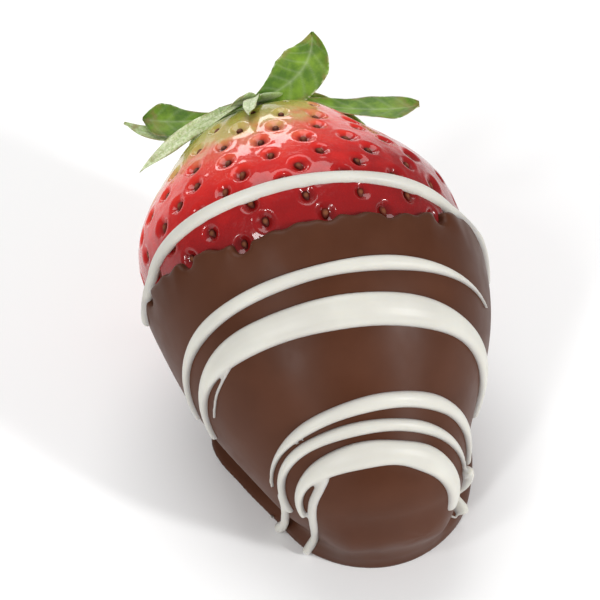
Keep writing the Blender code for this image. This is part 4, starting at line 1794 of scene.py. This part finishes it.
@dataclass
class Studio:
    """The pale floor, the soft light and the camera."""

    azimuth: float = -18.26
    elevation: float = 46.0
    lens: float = 120.0
    sensor: float = 36.0
    target: tuple[float, float, float] = (-0.00239, 0.002, 0.01945)
    frame_width: float = 0.0706
    floor_half: float = 3.0
    room_light: float = 0.27
    lights_aim: tuple[float, float, float] = (0.0, 0.0, 0.02)
    lights: tuple[Softbox, ...] = (
        Softbox("back_box", 175, 62, 0.60, 0.42, 0.40, 1.9),
        Softbox("back_strip", 178, 14, 0.60, 0.36, 0.07, 0.50),
        Softbox("left_strip", -45, 24, 0.60, 0.13, 0.32, 0.25),
        Softbox("left_core", -45, 26, 0.58, 0.05, 0.14, 0.95),
        Softbox("right_strip", 41, 22, 0.60, 0.13, 0.32, 0.25),
        Softbox("right_core", 41, 26, 0.58, 0.05, 0.14, 1.75),
        Softbox("side_box", -63, 47, 0.60, 0.08, 0.10, 0.5),
    )

    def _towards(self, azimuth: float, elevation: float) -> Vector:
        """The way from the part to a place round it.

        Args:
            azimuth: how far round it is, in degrees.
            elevation: how far up it is, in degrees.

        Returns:
            The way, of unit length.
        """
        around, up = math.radians(azimuth), math.radians(elevation)
        return Vector((
            math.sin(around) * math.cos(up), -math.cos(around) * math.cos(up), math.sin(up)
        ))

    def camera(self) -> None:
        """Puts the camera at the photograph's viewing angle."""
        data = bpy.data.cameras.new("camera")
        data.lens = self.lens
        data.sensor_width = self.sensor
        data.clip_start = 0.01
        made = bpy.data.objects.new("camera", data)
        bpy.context.scene.collection.objects.link(made)
        back = self._towards(self.azimuth, self.elevation)
        distance = self.frame_width * self.lens / self.sensor
        made.location = Vector(self.target) + back * distance
        made.rotation_euler = back.to_track_quat("Z", "Y").to_euler()
        bpy.context.scene.camera = made

    def floor(self) -> None:
        """Lays the floor under the part."""
        half = self.floor_half
        corners = np.array([[-half, -half, 0], [half, -half, 0], [half, half, 0], [-half, half, 0]])
        floor = mesh_object("floor", corners, [[0, 1, 2, 3]])
        floor.data.materials.append(FloorFinish().material())

    def _hang(self, box: Softbox) -> None:
        """Hangs one soft light, facing the part.

        Args:
            box: the light.
        """
        data = bpy.data.lights.new(box.name, "AREA")
        data.shape = "RECTANGLE"
        data.size, data.size_y = box.width, box.height
        data.energy = box.power
        made = bpy.data.objects.new(box.name, data)
        bpy.context.scene.collection.objects.link(made)
        towards = self._towards(box.azimuth, box.elevation)
        made.location = Vector(self.lights_aim) + towards * box.away
        made.rotation_euler = towards.to_track_quat("Z", "Y").to_euler()

    def light(self) -> None:
        """Fills the room with soft white light and hangs the softboxes."""
        world = bpy.data.worlds.new("studio")
        bpy.context.scene.world = world
        world.use_nodes = True
        background = world.node_tree.nodes["Background"]
        background.inputs["Color"].default_value = (1.0, 1.0, 1.0, 1.0)
        background.inputs["Strength"].default_value = self.room_light
        for box in self.lights:
            self._hang(box)

    def make(self) -> None:
        """Sets up the whole studio."""
        self.floor()
        self.light()
        self.camera()
        bpy.context.scene.view_settings.view_transform = "Standard"


def report(piece: bpy.types.Object) -> None:
    """Logs a piece's name and how many faces it has."""
    LOG.info("%s: %d faces", piece.name, len(piece.data.polygons))


def main() -> None:
    """Builds the strawberry's looks."""
    logging.basicConfig(level=logging.INFO, format="%(message)s")
    form = BerryForm()
    seeds = SeedPattern(form)
    rim = DipLine(form, seeds)
    for piece in Fruit(form, seeds, rim).make():
        report(piece)
    coat = DarkCoat(form, rim).make()
    report(coat)
    report(Drizzle(form, coat).make())
    report(Crown(form).make())
    Studio().make()


if __name__ == "__main__":
    main()
